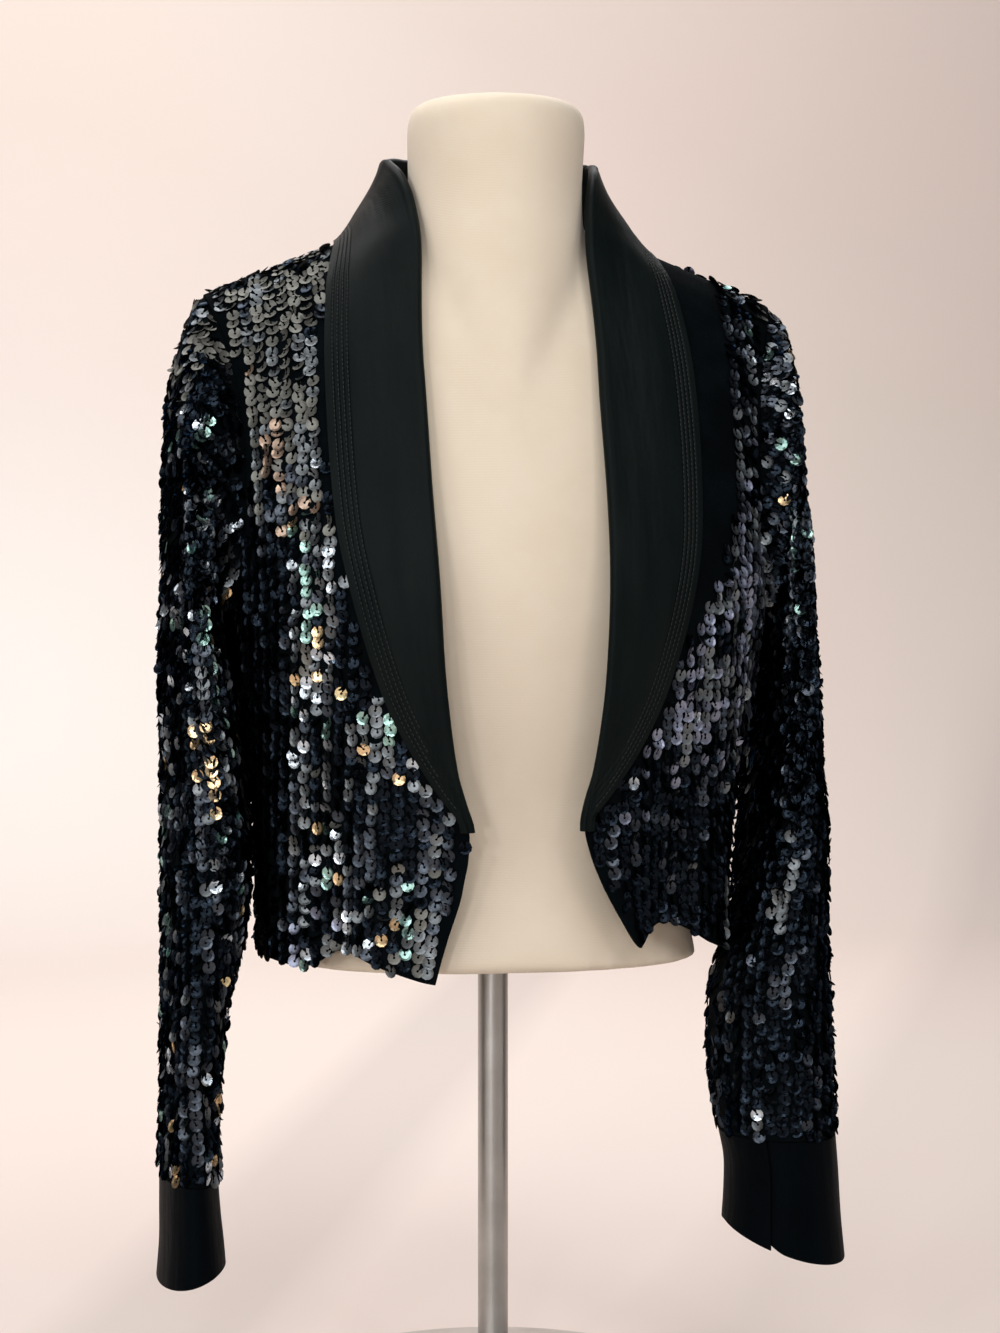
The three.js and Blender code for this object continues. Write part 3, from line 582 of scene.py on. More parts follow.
# %% [markdown]
# A sleeve is a run of rings. The first ring is the armhole itself; the others are ovals through
# an outer and an inner edge. Folds wind round the arm and fade at both ends.
# %% Sleeve tables
RING = "outX outZ inX inZ middle halfDeep"
SLEEVE = {
    "left": table(RING, [
        [180, 689, 172, 485, 8, 56], [184, 684, 172.8, 481, 8, 60],
        [187.5, 676, 173.2, 476, 8, 63], [188.6, 663, 173.5, 470, 7, 65],
        [188.2, 642, 174, 462, 5, 66], [189, 614, 174, 452, 3, 66],
        [192.3, 582, 173.5, 440, 1, 66], [195.5, 546, 172.5, 424, 0, 65],
        [199.3, 508, 171, 404, -1, 64], [203.5, 466, 168, 378, -3, 62],
        [206, 420, 163.5, 350, -6, 59], [208.3, 372, 158.5, 322, -9, 56],
        [209.8, 330, 155, 298, -11, 53], [213, 272, 140.5, 258, -14, 50],
        [214.3, 225, 138, 215, -16, 47], [215.6, 190, 139.8, 186, -18, 45],
        [216.7, 162, 143.2, 164, -19, 44],
    ]),
    "right": table(RING, [
        [180, 689, 172, 485, 8, 56], [184, 686, 172.8, 481, 8, 60], [187, 678, 173.2, 476, 8, 64],
        [192, 664, 173, 470, 7, 67], [198.5, 642, 171.5, 462, 6, 69],
        [203, 614, 169.5, 452, 5, 70], [204.8, 582, 167, 440, 4, 70], [206, 546, 164, 424, 2, 69],
        [206.3, 508, 160.5, 404, 0, 68], [208.3, 466, 157, 378, -3, 66],
        [208, 420, 154.5, 350, -5, 64], [207.5, 372, 155.5, 318, -8, 62],
        [207.5, 322, 161, 286, -10, 60], [207, 272, 169.5, 250, -12, 59],
        [208.2, 225, 173.5, 212, -13, 58], [208.8, 190, 175.5, 182, -14, 57],
        [210.5, 150, 174.5, 148, -15, 56],
    ]),
}
CUFF = {
    "left": table(RING, [
        [216.8, 161.6, 143.4, 163.6, -19, 44], [218.4, 140, 146.8, 145, -19.5, 43.5],
        [220.2, 111, 146.6, 125, -20, 43.5], [222.5, 86, 145.2, 107, -21, 45],
    ]),
    "right": table(RING, [
        [210.6, 149.6, 174.5, 147.6, -15, 56], [210.8, 128, 172.8, 127, -15, 55],
        [211, 106, 171, 111, -16, 55], [212.8, 84, 169.8, 97.5, -17, 56],
    ]),
}
SLEEVE_FOLDS = table("angle spread out top bottom wind", [
    [38, 13, 3.0, 640, 430, 12], [66, 11, -3.5, 620, 400, 18], [100, 13, 3.0, 560, 380, 16],
    [300, 14, -3.5, 620, 400, -14], [328, 12, 3.0, 640, 430, -8], [262, 14, 3.0, 560, 380, -20],
    [20, 16, -2.5, 420, 250, 30], [55, 14, 2.5, 380, 220, -34], [110, 16, -3.0, 400, 240, 40],
    [250, 16, 3.0, 400, 230, -36], [305, 15, -2.5, 360, 190, 34], [75, 14, -2.0, 260, 170, 20],
])

# %% Sleeve surfaces
SLEEVE_ROWS, SETTLED_ROW, SEAM_ROWS = 161, 3.4, 3


def ring_point(rows, side, row, angle):
    """A point of a ring: its middle, plus cosine times half its width, less sine times half its
    depth."""
    out_x, out_z, in_x, in_z, middle, half_deep = by_row(rows, row, *RING.split())
    c, s = np.cos(angle), np.sin(angle)
    x = (out_x + in_x) / 2 + c * (out_x - in_x) / 2
    z = (out_z + in_z) / 2 + c * (out_z - in_z) / 2
    return points(side * x, middle - s * half_deep, z)


def sleeve_fold(p, angle):
    """How far a sleeve's folds push a point out. Their middles wind round the sleeve, and each one
    is a hump from top to bottom."""
    folds = SLEEVE_FOLDS
    down = (folds["top"] - p[..., 2:]) / (folds["top"] - folds["bottom"])
    degrees = np.degrees(angle)[..., None] - folds["angle"] - folds["wind"] * down
    return bells(folds, degrees, np.sin(math.pi * np.clip(down, 0, 1)) ** 2)


def armhole_loop(side, count=64):
    """The armhole, down the front and up the back: points, rows and angles round the arm."""
    row = np.linspace(0, UNDERARM_ROW, count)
    halves = []
    for way in (FRONT, BACK):
        p = body_point(way, side * outer_x(row), row)
        along = lengths(p)
        halves.append((p, row, -way * math.pi * along / along[-1]))
    front, back = halves
    return [np.concatenate([f, b[::-1][1:-1]]) for f, b in zip(front, back)]


def sleeve_walls(name, side):
    """The outside and the inside of a sleeve. Its first rings leave the armhole's loop and settle
    into the ovals while they follow the sleeve head outward. A fold's plus is inward here."""
    rows = SLEEVE[name]
    loop, loop_row, angle = armhole_loop(side)
    row = np.linspace(0, len(rows["row"]) - 1, SLEEVE_ROWS)[:, None]
    settled = step(0, SETTLED_ROW, row)[..., None]
    share = underarm_share(loop_row)
    start = loop + points(side * (SEAM + share * (2 * CLOTH + 0.2)), 0, 0)
    oval, first = ring_point(rows, side, row, angle), ring_point(rows, side, 0, angle)
    outer = start * (1 - settled) + oval * settled + (oval - first) * (1 - settled)
    inward = -side * grid_normals(outer, True)
    outer = outer + inward * sleeve_fold(outer, np.broadcast_to(angle, outer.shape[:2]))[..., None]
    inward = -side * grid_normals(outer, True)
    seam = seam_direction(loop.copy(), loop_row, -side)
    near = step(SEAM_ROWS, 0, np.arange(len(row)))[:, None, None]
    return outer, outer + unit(inward * (1 - near) + seam * near) * CLOTH, -inward


for name, side in SIDES.items():
    outer, inner, normals = sleeve_walls(name, side)
    grids["sleeve_" + name] = {"outer": outer, "normals": normals}
    cloth["sleeve_" + name] = shell(f"sleeve_{name}_cloth", inner, outer, ring=True, every=2)
    print("sleeve", name, "grid:", inner.shape[:2])

# %% [markdown]
# Every cloth piece gets the backing cloth and stands for its solid, which is hidden.
# %% Cloth pieces on their solids
for name, made in cloth.items():
    settle(made, backing, name)
print("cloth pieces:", len(cloth))

# %% [markdown]
# Satin is a smooth cloth with a soft, slightly streaky shine, here black with a green or blue cast.
# Fine slanted ridges give its grain, and wider noise the unevenness of a pressed and worn collar.
# %% Satin
def make_satin(name, dark, pale, rough, shine):
    material, shader, place = new_material(name)
    uv = place.node("ShaderNodeUVMap", {"uv_map": "cloth"})
    grain = waves(uv, 0.0007, 1.1) * 0.5 + waves(uv, 0.0009, -0.5) * 0.5
    along = uv.node("ShaderNodeMapping", None, {"Vector": uv, "Scale": (1.0, 0.16, 1.0)})
    rumple, streaks = noise(along, 55, 3, 0.45), noise(uv, 120, 3)
    rows = uv.node("ShaderNodeAttribute", {"attribute_name": "stitching"}, out=2)
    feed(
        shader, Base_Color=mixed(contrast(rumple + 0.4 * noise(place, 24), 0.5, 1.0), dark, pale),
        Roughness=rough + 0.14 * rumple - 0.06 * streaks, Specular_IOR_Level=shine,
        Normal=bump(grain * 0.03 + rumple * 0.9 + streaks * 0.06 - rows * 0.3, 0.8, 0.0032),
    )
    return material


collar_satin = make_satin(
    "collar_cloth", (0.0018, 0.0040, 0.0040, 1), (0.0046, 0.0080, 0.0076, 1), 0.42, 0.07
)
cuff_satin = make_satin(
    "cuff_cloth", (0.0008, 0.0018, 0.0026, 1), (0.0018, 0.0032, 0.0046, 1), 0.5, 0.02
)
print("made", collar_satin.name, cuff_satin.name)


def add_satin(name, inner, outer, satin):
    """A satin piece with rounded edges that stands for its solid."""
    made = shell(name + "_satin", inner, outer)
    edge = made.modifiers.new("edge", "BEVEL")
    edge.width, edge.segments, edge.limit_method = 0.5 * MM, 2, "ANGLE"
    edge.angle_limit = math.radians(60)
    settle(made, satin, name)
    print(name, "grid:", inner.shape[:2])
    return made


# %% [markdown]
# A cuff is a straight band whose end laps over its start, with the corner of the upper end cut away
# in a curve, so it is worked out as a spiral of rings. On the left the opening shows in front; on
# the right it is turned to the back.
# %% Cuffs
CUFF_START = {"left": 2.08, "right": math.pi * 1.06}
CUFF_DROP = {"left": 8, "right": 1}
CUFF_OVERLAP = 0.28
CUFF_LAP = 2.3
CORNER_START, CORNER_RISE = 0.92, 6
CUFF_ROWS, CUFF_COLUMNS = 31, 150


def cuff_walls(name, side):
    """The outside and the inside of a band of rings that turns a little more than once. Its lower
    edge hangs lower in front by a sine of the angle."""
    rows = CUFF[name]
    last = len(rows["row"]) - 1
    row = np.linspace(0, last, CUFF_ROWS)[:, None]
    turn = np.linspace(0, 1, CUFF_COLUMNS)[None, :]
    angle = CUFF_START[name] + turn * (2 * math.pi + CUFF_OVERLAP)
    band = ring_point(rows, side, row, angle)
    low = row / last
    drop = CUFF_DROP[name] * np.maximum(0, np.sin(angle)) * low**2
    band[..., 2] += CORNER_RISE * step(CORNER_START, 1, turn) * low**3 - drop
    inward = -side * grid_normals(band)
    outer = band + inward * (CUFF_LAP * step(0.84, 0.93, turn))[..., None]
    return outer, outer + inward * SATIN


for name, side in SIDES.items():
    outer, inner = cuff_walls(name, side)
    add_satin("cuff_" + name, inner, outer, cuff_satin)

# %% [markdown]
# A shawl collar rises from its seam as a stand, turns over at the roll line and falls back on the
# jacket. The tables say how this section changes from the point at the waist to the middle of the
# back.
# %% Collar tables
BACK_NECK = table("edgeX edgeRow", [[94.5, 0], [88, 1.0], [73, 2.0], [42, 2.9], [0, 3.25]])
COLLAR_STAND = table("along stand cant", [
    [-12, 0, 0], [-7, 0, 0], [-5.2, 1.5, 8], [-4.5, 4, 16], [-3.6, 10, 30], [-2.5, 20, 48],
    [-1.2, 31, 63], [0, 36.5, 70], [1, 39.5, 68], [2, 42, 60], [3, 43, 48], [4, 43.5, 42],
])
COLLAR_POINT_ROW, POINT_WIDTH = 11.55, 5
NECK_SPANS = 5
SEAM_ROLL, COLLAR_LIFT, COLLAR_PUFF = 2.6, 3.6, 1.6
BEND_POINTS, FALL_POINTS, FALL_FADE = 13, 91, 1.7

# %% Collar surfaces
def collar_strip(name, side, way, stations):
    """Sections of the collar at stations: minus the row in front, 0 to 5 behind. Stand: straight up
    from the seam. Roll: half a turn. Fall: the jacket's own points moved out, plus what is left of
    the roll's place, which dies away as (1 - f) ** FALL_FADE."""
    along = stations if way == FRONT else 4 * stations / NECK_SPANS
    if way == FRONT:
        seam_row = edge_row = -stations
        seam_x = edge_x(FRONT_EDGE, name, seam_row)
        edge_to = np.maximum(seam_x + POINT_WIDTH, edge_x(COLLAR_EDGE, "x", seam_row))
    else:
        seam_x = NECK_X * np.cos(math.pi / 2 * stations / NECK_SPANS)
        seam_row = np.maximum(0, smooth(NECKLINE, "seamX", "seamRow", seam_x))
        edge_to, edge_row = (np.maximum(0, v) for v in by_row(BACK_NECK, along, "edgeX", "edgeRow"))

    def place(f):
        return side * (seam_x + (edge_to - seam_x) * f), seam_row + (edge_row - seam_row) * f

    start, out = body_point(way, *place(0)), outward_at(way, *place(0))
    inward = start - body_point(way, *place(0.05))
    inward = unit(inward - out * np.sum(inward * out, axis=-1, keepdims=True))
    cant = np.radians(smooth(COLLAR_STAND, "along", "cant", along))[:, None]
    stand = np.maximum(0, smooth(COLLAR_STAND, "along", "stand", along))[:, None]
    up = inward * np.cos(cant) + out * np.sin(cant)
    apart = out * np.cos(cant) - inward * np.sin(cant)
    taper = step(-COLLAR_POINT_ROW, 2.2 - COLLAR_POINT_ROW, along)[:, None]
    roll = SEAM_ROLL * (0.55 + 0.45 * taper)
    foot = start + out * (CLOTH / 2) + inward * (SEAM + 0.1 + SATIN / 2 * np.sin(cant))
    rise = [foot + up * (stand + 0.8) * f for f in np.linspace(0, 1, BEND_POINTS)[:-1]]
    turned = [
        foot + up * (stand + 0.8 + roll * math.sin(t)) + apart * roll * (1 - math.cos(t))
        for t in np.linspace(0, math.pi, BEND_POINTS)
    ]
    offset = turned[-1] - start
    fall = []
    for f in np.linspace(0, 1, FALL_POINTS)[1:] ** 0.8:
        puff = COLLAR_PUFF * math.sin(math.pi * f) * taper
        lift = (COLLAR_LIFT + puff) * step(-0.1, 0.6, f)
        seat = body_point(way, *place(f)) + outward_at(way, *place(f)) * lift
        fall.append(seat + offset * (1 - f) ** FALL_FADE)
    return np.stack(rise + turned + fall, axis=1)


def collar_walls(name, side):
    """The collar's middle surface from its point to the middle of the back, and its way outward."""
    front = collar_strip(name, side, FRONT, np.linspace(-COLLAR_POINT_ROW, 0, 121))
    back = collar_strip(name, side, BACK, np.linspace(0, NECK_SPANS, 41)[1:])
    middle = np.concatenate([front, back])
    middle[-1, :, 0] = side * SEAM / 2
    normals = grid_normals(middle)
    normals[-1, :, 0] = 0
    normals = unit(normals)
    facing = np.sign(np.sum(normals[40:80, -20:, 1]))
    return middle, -facing * normals


STITCH_ROWS = (5.0, 8.2, 11.4, 14.6)


def stitch_grooves(middle):
    """1 along each row of topstitching and 0 between the rows: bell curves of the distance from the
    collar's outer edge."""
    inside = lengths(middle[:, ::-1], 1)[:, ::-1]
    return sum(np.exp(-(((inside - row) / 0.7) ** 2)) for row in STITCH_ROWS)


collars, collar_grids = {}, {}
for name, side in SIDES.items():
    middle, outward = collar_walls(name, side)
    inner, outer = middle - outward * SATIN / 2, middle + outward * SATIN / 2
    collar_grids[name] = outer, outward
    made = add_satin("collar_" + name, inner, outer, collar_satin)
    layer = made.data.attributes.new("stitching", "FLOAT", "POINT")
    grooves = np.tile(stitch_grooves(middle).ravel(), 2)
    layer.data.foreach_set("value", grooves.astype(np.float32))
    collars[name] = made

# %% [markdown]
# Cup sequins are small dished discs with a hole in the middle. They are threaded on strings that
# are sewn down the cloth side by side, so each sequin overlaps the next one below it. A string
# follows the cloth at a fixed distance from one line of the panel, and ends where the panel ends.
# %% Strings of sequins
SEQUIN_RADIUS = 4.1
DOWN_PITCH, ACROSS_PITCH = 6.7, 7.9
SWAY, SLIP = 0.7, 0.6  # how far sequins stray across and along their string
SEQUIN_LIFT = 0.8
EDGE_ROOM, TOP_ROOM, END_ROOM = 3.6, 2.0, 0.6
BATCH_BREAK = 0.3
rng = np.random.default_rng(17)


def sample(grid, i, j):
    """A grid's values at fractional rows i and columns j, blended from the four around them."""
    rows, columns = grid.shape[:2]
    i0 = np.clip(np.floor(i).astype(int), 0, rows - 2)
    j0 = np.clip(np.floor(j).astype(int), 0, columns - 2)
    a, b = i - i0, j - j0
    if grid.ndim == 3:
        a, b = a[:, None], b[:, None]
    top = grid[i0, j0] * (1 - b) + grid[i0, j0 + 1] * b
    bottom = grid[i0 + 1, j0] * (1 - b) + grid[i0 + 1, j0 + 1] * b
    return top * (1 - a) + bottom * a


def lanes_of(outer, reference):
    """Where each string crosses each row: the column whose arc length from the reference column is
    the string's own. nan marks a string that is off the panel at that row."""
    arc = lengths(outer, 1)
    column = np.arange(outer.shape[1], dtype=float)
    arc -= np.array([[np.interp(at, column, line)] for at, line in zip(reference, arc)])
    lane = np.arange(math.ceil(arc.min() / ACROSS_PITCH), math.floor(arc.max() / ACROSS_PITCH) + 1)
    lane = lane * ACROSS_PITCH
    across = np.array([np.interp(lane, line, column, left=np.nan, right=np.nan) for line in arc])
    near_edge = (lane < arc[:, :1] + EDGE_ROOM) | (lane > arc[:, -1:] - EDGE_ROOM)
    return np.where(near_edge, np.nan, across)


def string_places(outer, reference):
    """Row and column places of every sequin, one to a pitch along each unbroken run of a string,
    and the batch of a few sequins that it was threaded from."""
    across = lanes_of(outer, reference)
    wide = steps(outer, 1).mean(axis=1)
    found, batches, last = [], [], 0
    for lane in across.T:
        on = np.flatnonzero(~np.isnan(lane))
        for run in np.split(on, np.flatnonzero(np.diff(on) > 1) + 1):
            if len(run) < 3:
                continue
            i = run.astype(float)
            along = lengths(sample(outer, i, lane[run]))
            start = rng.uniform(TOP_ROOM, TOP_ROOM + DOWN_PITCH)
            at = np.arange(start, along[-1] - END_ROOM, DOWN_PITCH)
            if len(at) == 0:
                continue
            row = np.interp(at + rng.normal(0, SLIP, len(at)), along, i)
            sway = rng.normal(0, SWAY, len(at)) / np.interp(row, i, wide[run])
            column = np.clip(np.interp(row, i, lane[run]) + sway, 0, outer.shape[1] - 1)
            found.append(np.stack([row, column], axis=1))
            batches.append(last + np.cumsum(rng.random(len(at)) < BATCH_BREAK))
            last = batches[-1][-1] + 1
    return np.concatenate(found), np.concatenate(batches)


# %% [markdown]
# One sequin has ten sides: a dark disc for the hole, a flat ring and a raised rim. The thread runs
# out of the hole over the upper rim, so that sector is dark. Every sequin lies on the cloth, leans
# like a roof tile and is tipped a few degrees at random, nearly alike in one batch. That makes the
# whole glitter.
# %% Sequin shape
SEQUIN_SIDES = 10
HOLE_RADIUS, FLAT_RADIUS, RIM_RISE = 0.8, 2.7, 0.5
TILE_LEAN, BATCH_TIP, RANDOM_TIP, RANDOM_TURN = 9.0, 7.5, 7.5, 20.0
CAUGHT_SHARE, CAUGHT_TIP = 0.125, 3.0
THREAD_COLOUR = np.array([0.003, 0.003, 0.004, 0.8])


def sequin_profile():
    """Three circles of ten points, as across, down and out, and the faces between them."""
    angle = circle(SEQUIN_SIDES, 0.5)
    circles = [(HOLE_RADIUS, -0.15), (FLAT_RADIUS, 0.0), (SEQUIN_RADIUS, RIM_RISE)]
    place = np.concatenate([
        points(r * np.sin(angle), r * np.cos(angle), out) for r, out in circles
    ])
    number = looped(np.arange(3 * SEQUIN_SIDES).reshape(3, SEQUIN_SIDES))
    return place, number[:1, :-1], quads(number)


def turned_by(angle, a, b):
    """Two directions turned together, a towards b, by an angle."""
    c, s = np.cos(angle), np.sin(angle)
    return a * c + b * s, b * c - a * s


def copies(shape, middle, axes, *faces):
    """A shape once at every middle, turned to its axes: the points, and the faces of all copies."""
    place = (middle[:, None, :] + np.einsum("kc,ncd->nkd", shape, axes)).reshape(-1, 3)
    shift = (np.arange(len(middle)) * len(shape))[:, None, None]
    return place, [(f + shift).reshape(-1, f.shape[1]) for f in faces]


def tips(batch):
    """Random tips: one part shared by a batch, one part each sequin's own. Some sequins have caught
    on their neighbours and are tipped further."""
    shared = rng.normal(0, BATCH_TIP, batch.max() + 1)
    caught = np.where(rng.random(len(batch)) < CAUGHT_SHARE, CAUGHT_TIP, 1.0)
    return np.radians(shared[batch] + caught * rng.normal(0, RANDOM_TIP, len(batch)))[:, None]


def sequin_frames(down, normals, batch):
    """Three directions for every sequin: across, down and out, leaned and tipped at random."""
    down = unit(down - normals * np.sum(down * normals, axis=-1, keepdims=True))
    turn = np.radians(rng.normal(0, RANDOM_TURN, len(batch)))[:, None]
    down, across = turned_by(turn, down, np.cross(down, normals))
    lean, tip = math.radians(TILE_LEAN) + tips(batch), tips(batch)
    down, out = turned_by(lean, down, normals)
    across, out = turned_by(tip, across, out)
    return np.stack([across, down, out], axis=1)


def make_sequins(name, middle, axes, tint):
    """A panel's sequins as one mesh, each corner with its sequin's colour and roughness."""
    shape, hole, bands = sequin_profile()
    made = make_piece(name, *copies(shape, middle, axes, hole, bands), sharp=None)
    sector = np.tile(np.arange(SEQUIN_SIDES), 2)
    thread = (sector == SEQUIN_SIDES // 2 - 1)[None, :, None]
    colour = np.concatenate([
        np.tile(THREAD_COLOUR, (len(middle) * SEQUIN_SIDES, 1)),
        np.repeat(np.where(thread, THREAD_COLOUR, tint[:, None, :]).reshape(-1, 4), 4, axis=0),
    ])
    layer = made.data.attributes.new("tint", "FLOAT_COLOR", "CORNER")
    layer.data.foreach_set("color", colour.astype(np.float32).ravel())
    made.data.polygons.foreach_set("use_smooth", np.zeros(len(made.data.polygons), bool))
    return made


# %% [markdown]
# Black sequins are dyed film with a thin metal coat. Most give back little light; some are washed
# with a pale metal, blue, green or gold. Which mix of finishes a sequin draws from depends on where
# it sits, and that paints light and shade: on the front towards the window a painted grey sheen on
# the shoulder and sleeve top, a few painted warm glints on the chest and more painted pale and mint
# glints below; a painted bluish sheen on the other front; and painted shade on the sleeves, low on
# the other front and where the first front meets its sleeve.
# %% Sequin colours
FINISHES = np.array([  # red, green, blue, roughness
    [0.01, 0.014, 0.02, 0.2], [0.06, 0.07, 0.086, 0.28], [0.17, 0.186, 0.198, 0.38],
    [0.54, 0.6, 0.66, 0.22], [0.33, 0.52, 0.47, 0.22], [0.88, 0.64, 0.37, 0.22],
    [0.205, 0.205, 0.188, 0.54], [0.25, 0.268, 0.35, 0.34], [0.42, 0.31, 0.24, 0.36],
])
# Every mix but plain paints light or shade by where it is used.
MIXES = {
    "painted_shade": [0.86, 0.11, 0.02, 0.01, 0, 0, 0, 0, 0],
    "plain": [0.42, 0.24, 0.22, 0.03, 0.02, 0.01, 0.04, 0.02, 0],
    "painted_shade_and_glints": [0.58, 0.20, 0.08, 0.08, 0.03, 0.03, 0, 0, 0],
    "painted_pewter_sheen": [0.06, 0.12, 0.12, 0, 0, 0, 0.68, 0, 0.02],
    "painted_copper_glints": [0.04, 0.08, 0.28, 0.03, 0.01, 0.04, 0.35, 0, 0.17],
    "painted_silver_glints": [0.06, 0.08, 0.42, 0.21, 0.11, 0.06, 0.05, 0.01, 0],
    "painted_lilac_sheen": [0.08, 0.12, 0.26, 0.05, 0, 0, 0, 0.49, 0],
}
BATCH_SHARE, FRAY = 0.66, 14
DARKEST, PALEST = 0.65, 1.3


def finish_of(mix, batch):
    """One finish a sequin, drawn from its place's mix. Most take the draw of their batch."""
    with_batch = rng.random(len(batch)) < BATCH_SHARE
    shared = rng.random(batch.max() + 1)[batch]
    luck = np.where(with_batch, shared, rng.random(len(batch)))
    drawn = np.empty(len(batch), int)
    for name, shares in MIXES.items():
        here = mix == name
        drawn[here] = np.searchsorted(np.cumsum(shares) / sum(shares), luck[here])
    tint = FINISHES[drawn]
    tint[:, :3] *= rng.uniform(DARKEST, PALEST, (len(batch), 1))
    return tint


def mix_of(place, name):
    """Which mix a place has: by height, side and piece, with edges that are frayed by chance. The
    zones paint light and shade: sheen and glints towards the window, shade away from it.
    """
    x, z = place[:, 0], place[:, 2] + rng.normal(0, FRAY, len(place))
    mix = np.full(len(place), "plain", dtype=object)
    if name == "front_right":
        # Painted light towards the window: pale glints mid-way, warm glints on the chest, grey
        # sheen on top.
        mix[z < 545] = "painted_silver_glints"
        mix[z < 400] = "plain"
        mix[(z > 545) & (z < 620)] = "painted_copper_glints"
        mix[z > 600] = "painted_pewter_sheen"
        # Painted shade in the hollow between this front and its sleeve.
        mix[(x < -135) & (z < 560)] = "painted_shade"
    if name == "front_left":
        # Painted bluish sheen mid-way down the front away from the window; painted shade below it.
        mix[(z > 400) & (z < 560)] = "painted_lilac_sheen"
        mix[z < 400] = "painted_shade"
    if name.startswith("sleeve"):
        # Painted shade, with a few painted glints, on the sleeves below the shoulder.
        mix[z < 640] = "painted_shade_and_glints"
    if name == "sleeve_right":
        # Painted grey sheen on the top of the sleeve towards the window.
        mix[z > 640] = "painted_pewter_sheen"
    if name == "sleeve_left":
        # Deeper painted shade low on the sleeve away from the window.
        mix[z < 470] = "painted_shade"
    return mix


# %% Sequin film
def make_sequin_film():
    material, shader, place = new_material("sequin_film")
    tint, gloss = (
        place.node("ShaderNodeAttribute", {"attribute_name": "tint"}, out=out) for out in (0, 3)
    )
    feed(
        shader, Base_Color=tint, Metallic=1.0, Roughness=gloss + 0.12 * noise(place, 150),
        Normal=bump(noise(place, 700, 1), 0.2, 0.0005), Specular_Tint=(0.30, 0.33, 0.36, 1),
    )
    return material


sequin_film = make_sequin_film()

# %% [markdown]
# The strings keep clear of the collar, which lies on the cloth with no sequins under it. Beside
# the wearer's left collar a strip of the backing is left bare as far as the armhole.
# %% Sew the sequins on
BACK_EDGE = {key: column[::-1] for key, column in BACK_NECK.items()}
BARE_EDGE = table("height x", [
    [300, 0], [430, 70], [470, 96], [520, 122], [560, 134], [620, 139], [760, 139],
])
COLLAR_ROOM, ROW_ROOM = 2.0, 0.22
FRONT_GUIDE = 120  # x of the line that the strings of a front follow


def on_cloth(name, x, row, height):
    """True where sequins are sewn: outside the collar's edge and outside the bare strip."""
    across = np.abs(x)
    if name == "back":
        reach = BACK_EDGE["edgeX"][-1]
        edge = smooth(BACK_EDGE, "edgeX", "edgeRow", np.minimum(across, reach - 0.1))
        return (row > edge + ROW_ROOM) | (across > reach + COLLAR_ROOM)
    free = across > edge_x(COLLAR_EDGE, "x", row) + COLLAR_ROOM
    free |= row > COLLAR_POINT_ROW + 0.1
    if name == "front_left":
        free &= across > smooth(BARE_EDGE, "height", "x", height)
    return free


def guide_of(name, grid):
    """A panel's points and normals, and the column of the line that its strings follow. A sleeve is
    cut open along the line opposite its guide."""
    outer, normals = grid["outer"], grid["normals"]
    count = outer.shape[1]
    if name.startswith("sleeve"):
        half = count // 2
        order = (np.arange(count + 1) + half) % count
        return outer[:, order], normals[:, order], np.full(len(outer), float(half))
    if name == "back":
        return outer, normals, np.full(len(outer), (count - 1) / 2)
    guide = [np.interp(FRONT_GUIDE, np.abs(line), np.arange(count)) for line in grid["x"]]
    return outer, normals, np.array(guide)


for name, grid in grids.items():
    outer, normals, guide = guide_of(name, grid)
    places, batch = string_places(outer, guide)
    i, j = places.T
    middle, normal = sample(outer, i, j), unit(sample(normals, i, j))
    below, above = np.minimum(i + 0.5, len(outer) - 1), np.maximum(i - 0.5, 0)
    down = sample(outer, below, j) - sample(outer, above, j)
    if "x" in grid:
        x, row = sample(grid["x"], i, j), sample(grid["row"], i, j)
        keep = on_cloth(name, x, row, middle[:, 2])
        middle, normal, down, batch = middle[keep], normal[keep], down[keep], batch[keep]
    axes, tint = sequin_frames(down, normal, batch), finish_of(mix_of(middle, name), batch)
    made = make_sequins(f"sequins_{name}", middle + normal * SEQUIN_LIFT, axes, tint)
    settle(made, sequin_film)
    print(name, "sequins:", len(middle))

# %% [markdown]
# Four rows of topstitching run along the collar's outer edge, close together, and hold its
# layers flat. Each stitch is a small bead of thread that lies in the satin.
# %% Topstitching
STITCH_LENGTH, STITCH_PITCH = 2.3, 3.1
STITCH_WIDTH, STITCH_RISE = 0.30, 0.22


def stitch_line(outer, normals, distance):
    """Points, directions and normals of stitches at a fixed distance in from the collar's edge."""
    last = outer.shape[1] - 1
    arc = lengths(outer[:, ::-1], 1)
    column = np.array([np.interp(distance, line, np.arange(last + 1)) for line in arc])
    wide = arc[:, -1] > 2.2 * distance + 6
    i, column = np.arange(len(outer), dtype=float)[wide], last - column[wide]
    path = sample(outer, i, column)
    along = lengths(path)
    at = np.arange(2.0, along[-1] - 2.0, STITCH_PITCH)
    spot, ahead = (
        np.stack([np.interp(at + more, along, path[:, k]) for k in range(3)], axis=1)
        for more in (0, 0.5)
    )
    row = np.interp(at, along, i)
    return spot, unit(ahead - spot), unit(sample(normals, row, np.interp(row, i, column)))


def bead_profile():
    """A stitch as a flat spindle: two rings of six round its middle and two end points."""
    angle = circle(6)
    rings = [
        points(end * STITCH_LENGTH * 0.3, STITCH_WIDTH * np.cos(angle), STITCH_RISE * np.sin(angle))
        for end in (-1, 1)
    ]
    ends = np.array([[-STITCH_LENGTH / 2, 0, 0], [STITCH_LENGTH / 2, 0, 0]])
    number = looped(np.arange(12).reshape(2, 6))
    upper, lower = number
    caps = np.concatenate([
        np.stack([upper[1:], upper[:-1], np.full(6, 12)], axis=1),
        np.stack([lower[:-1], lower[1:], np.full(6, 13)], axis=1),
    ])
    return np.concatenate([*rings, ends]), quads(number), caps


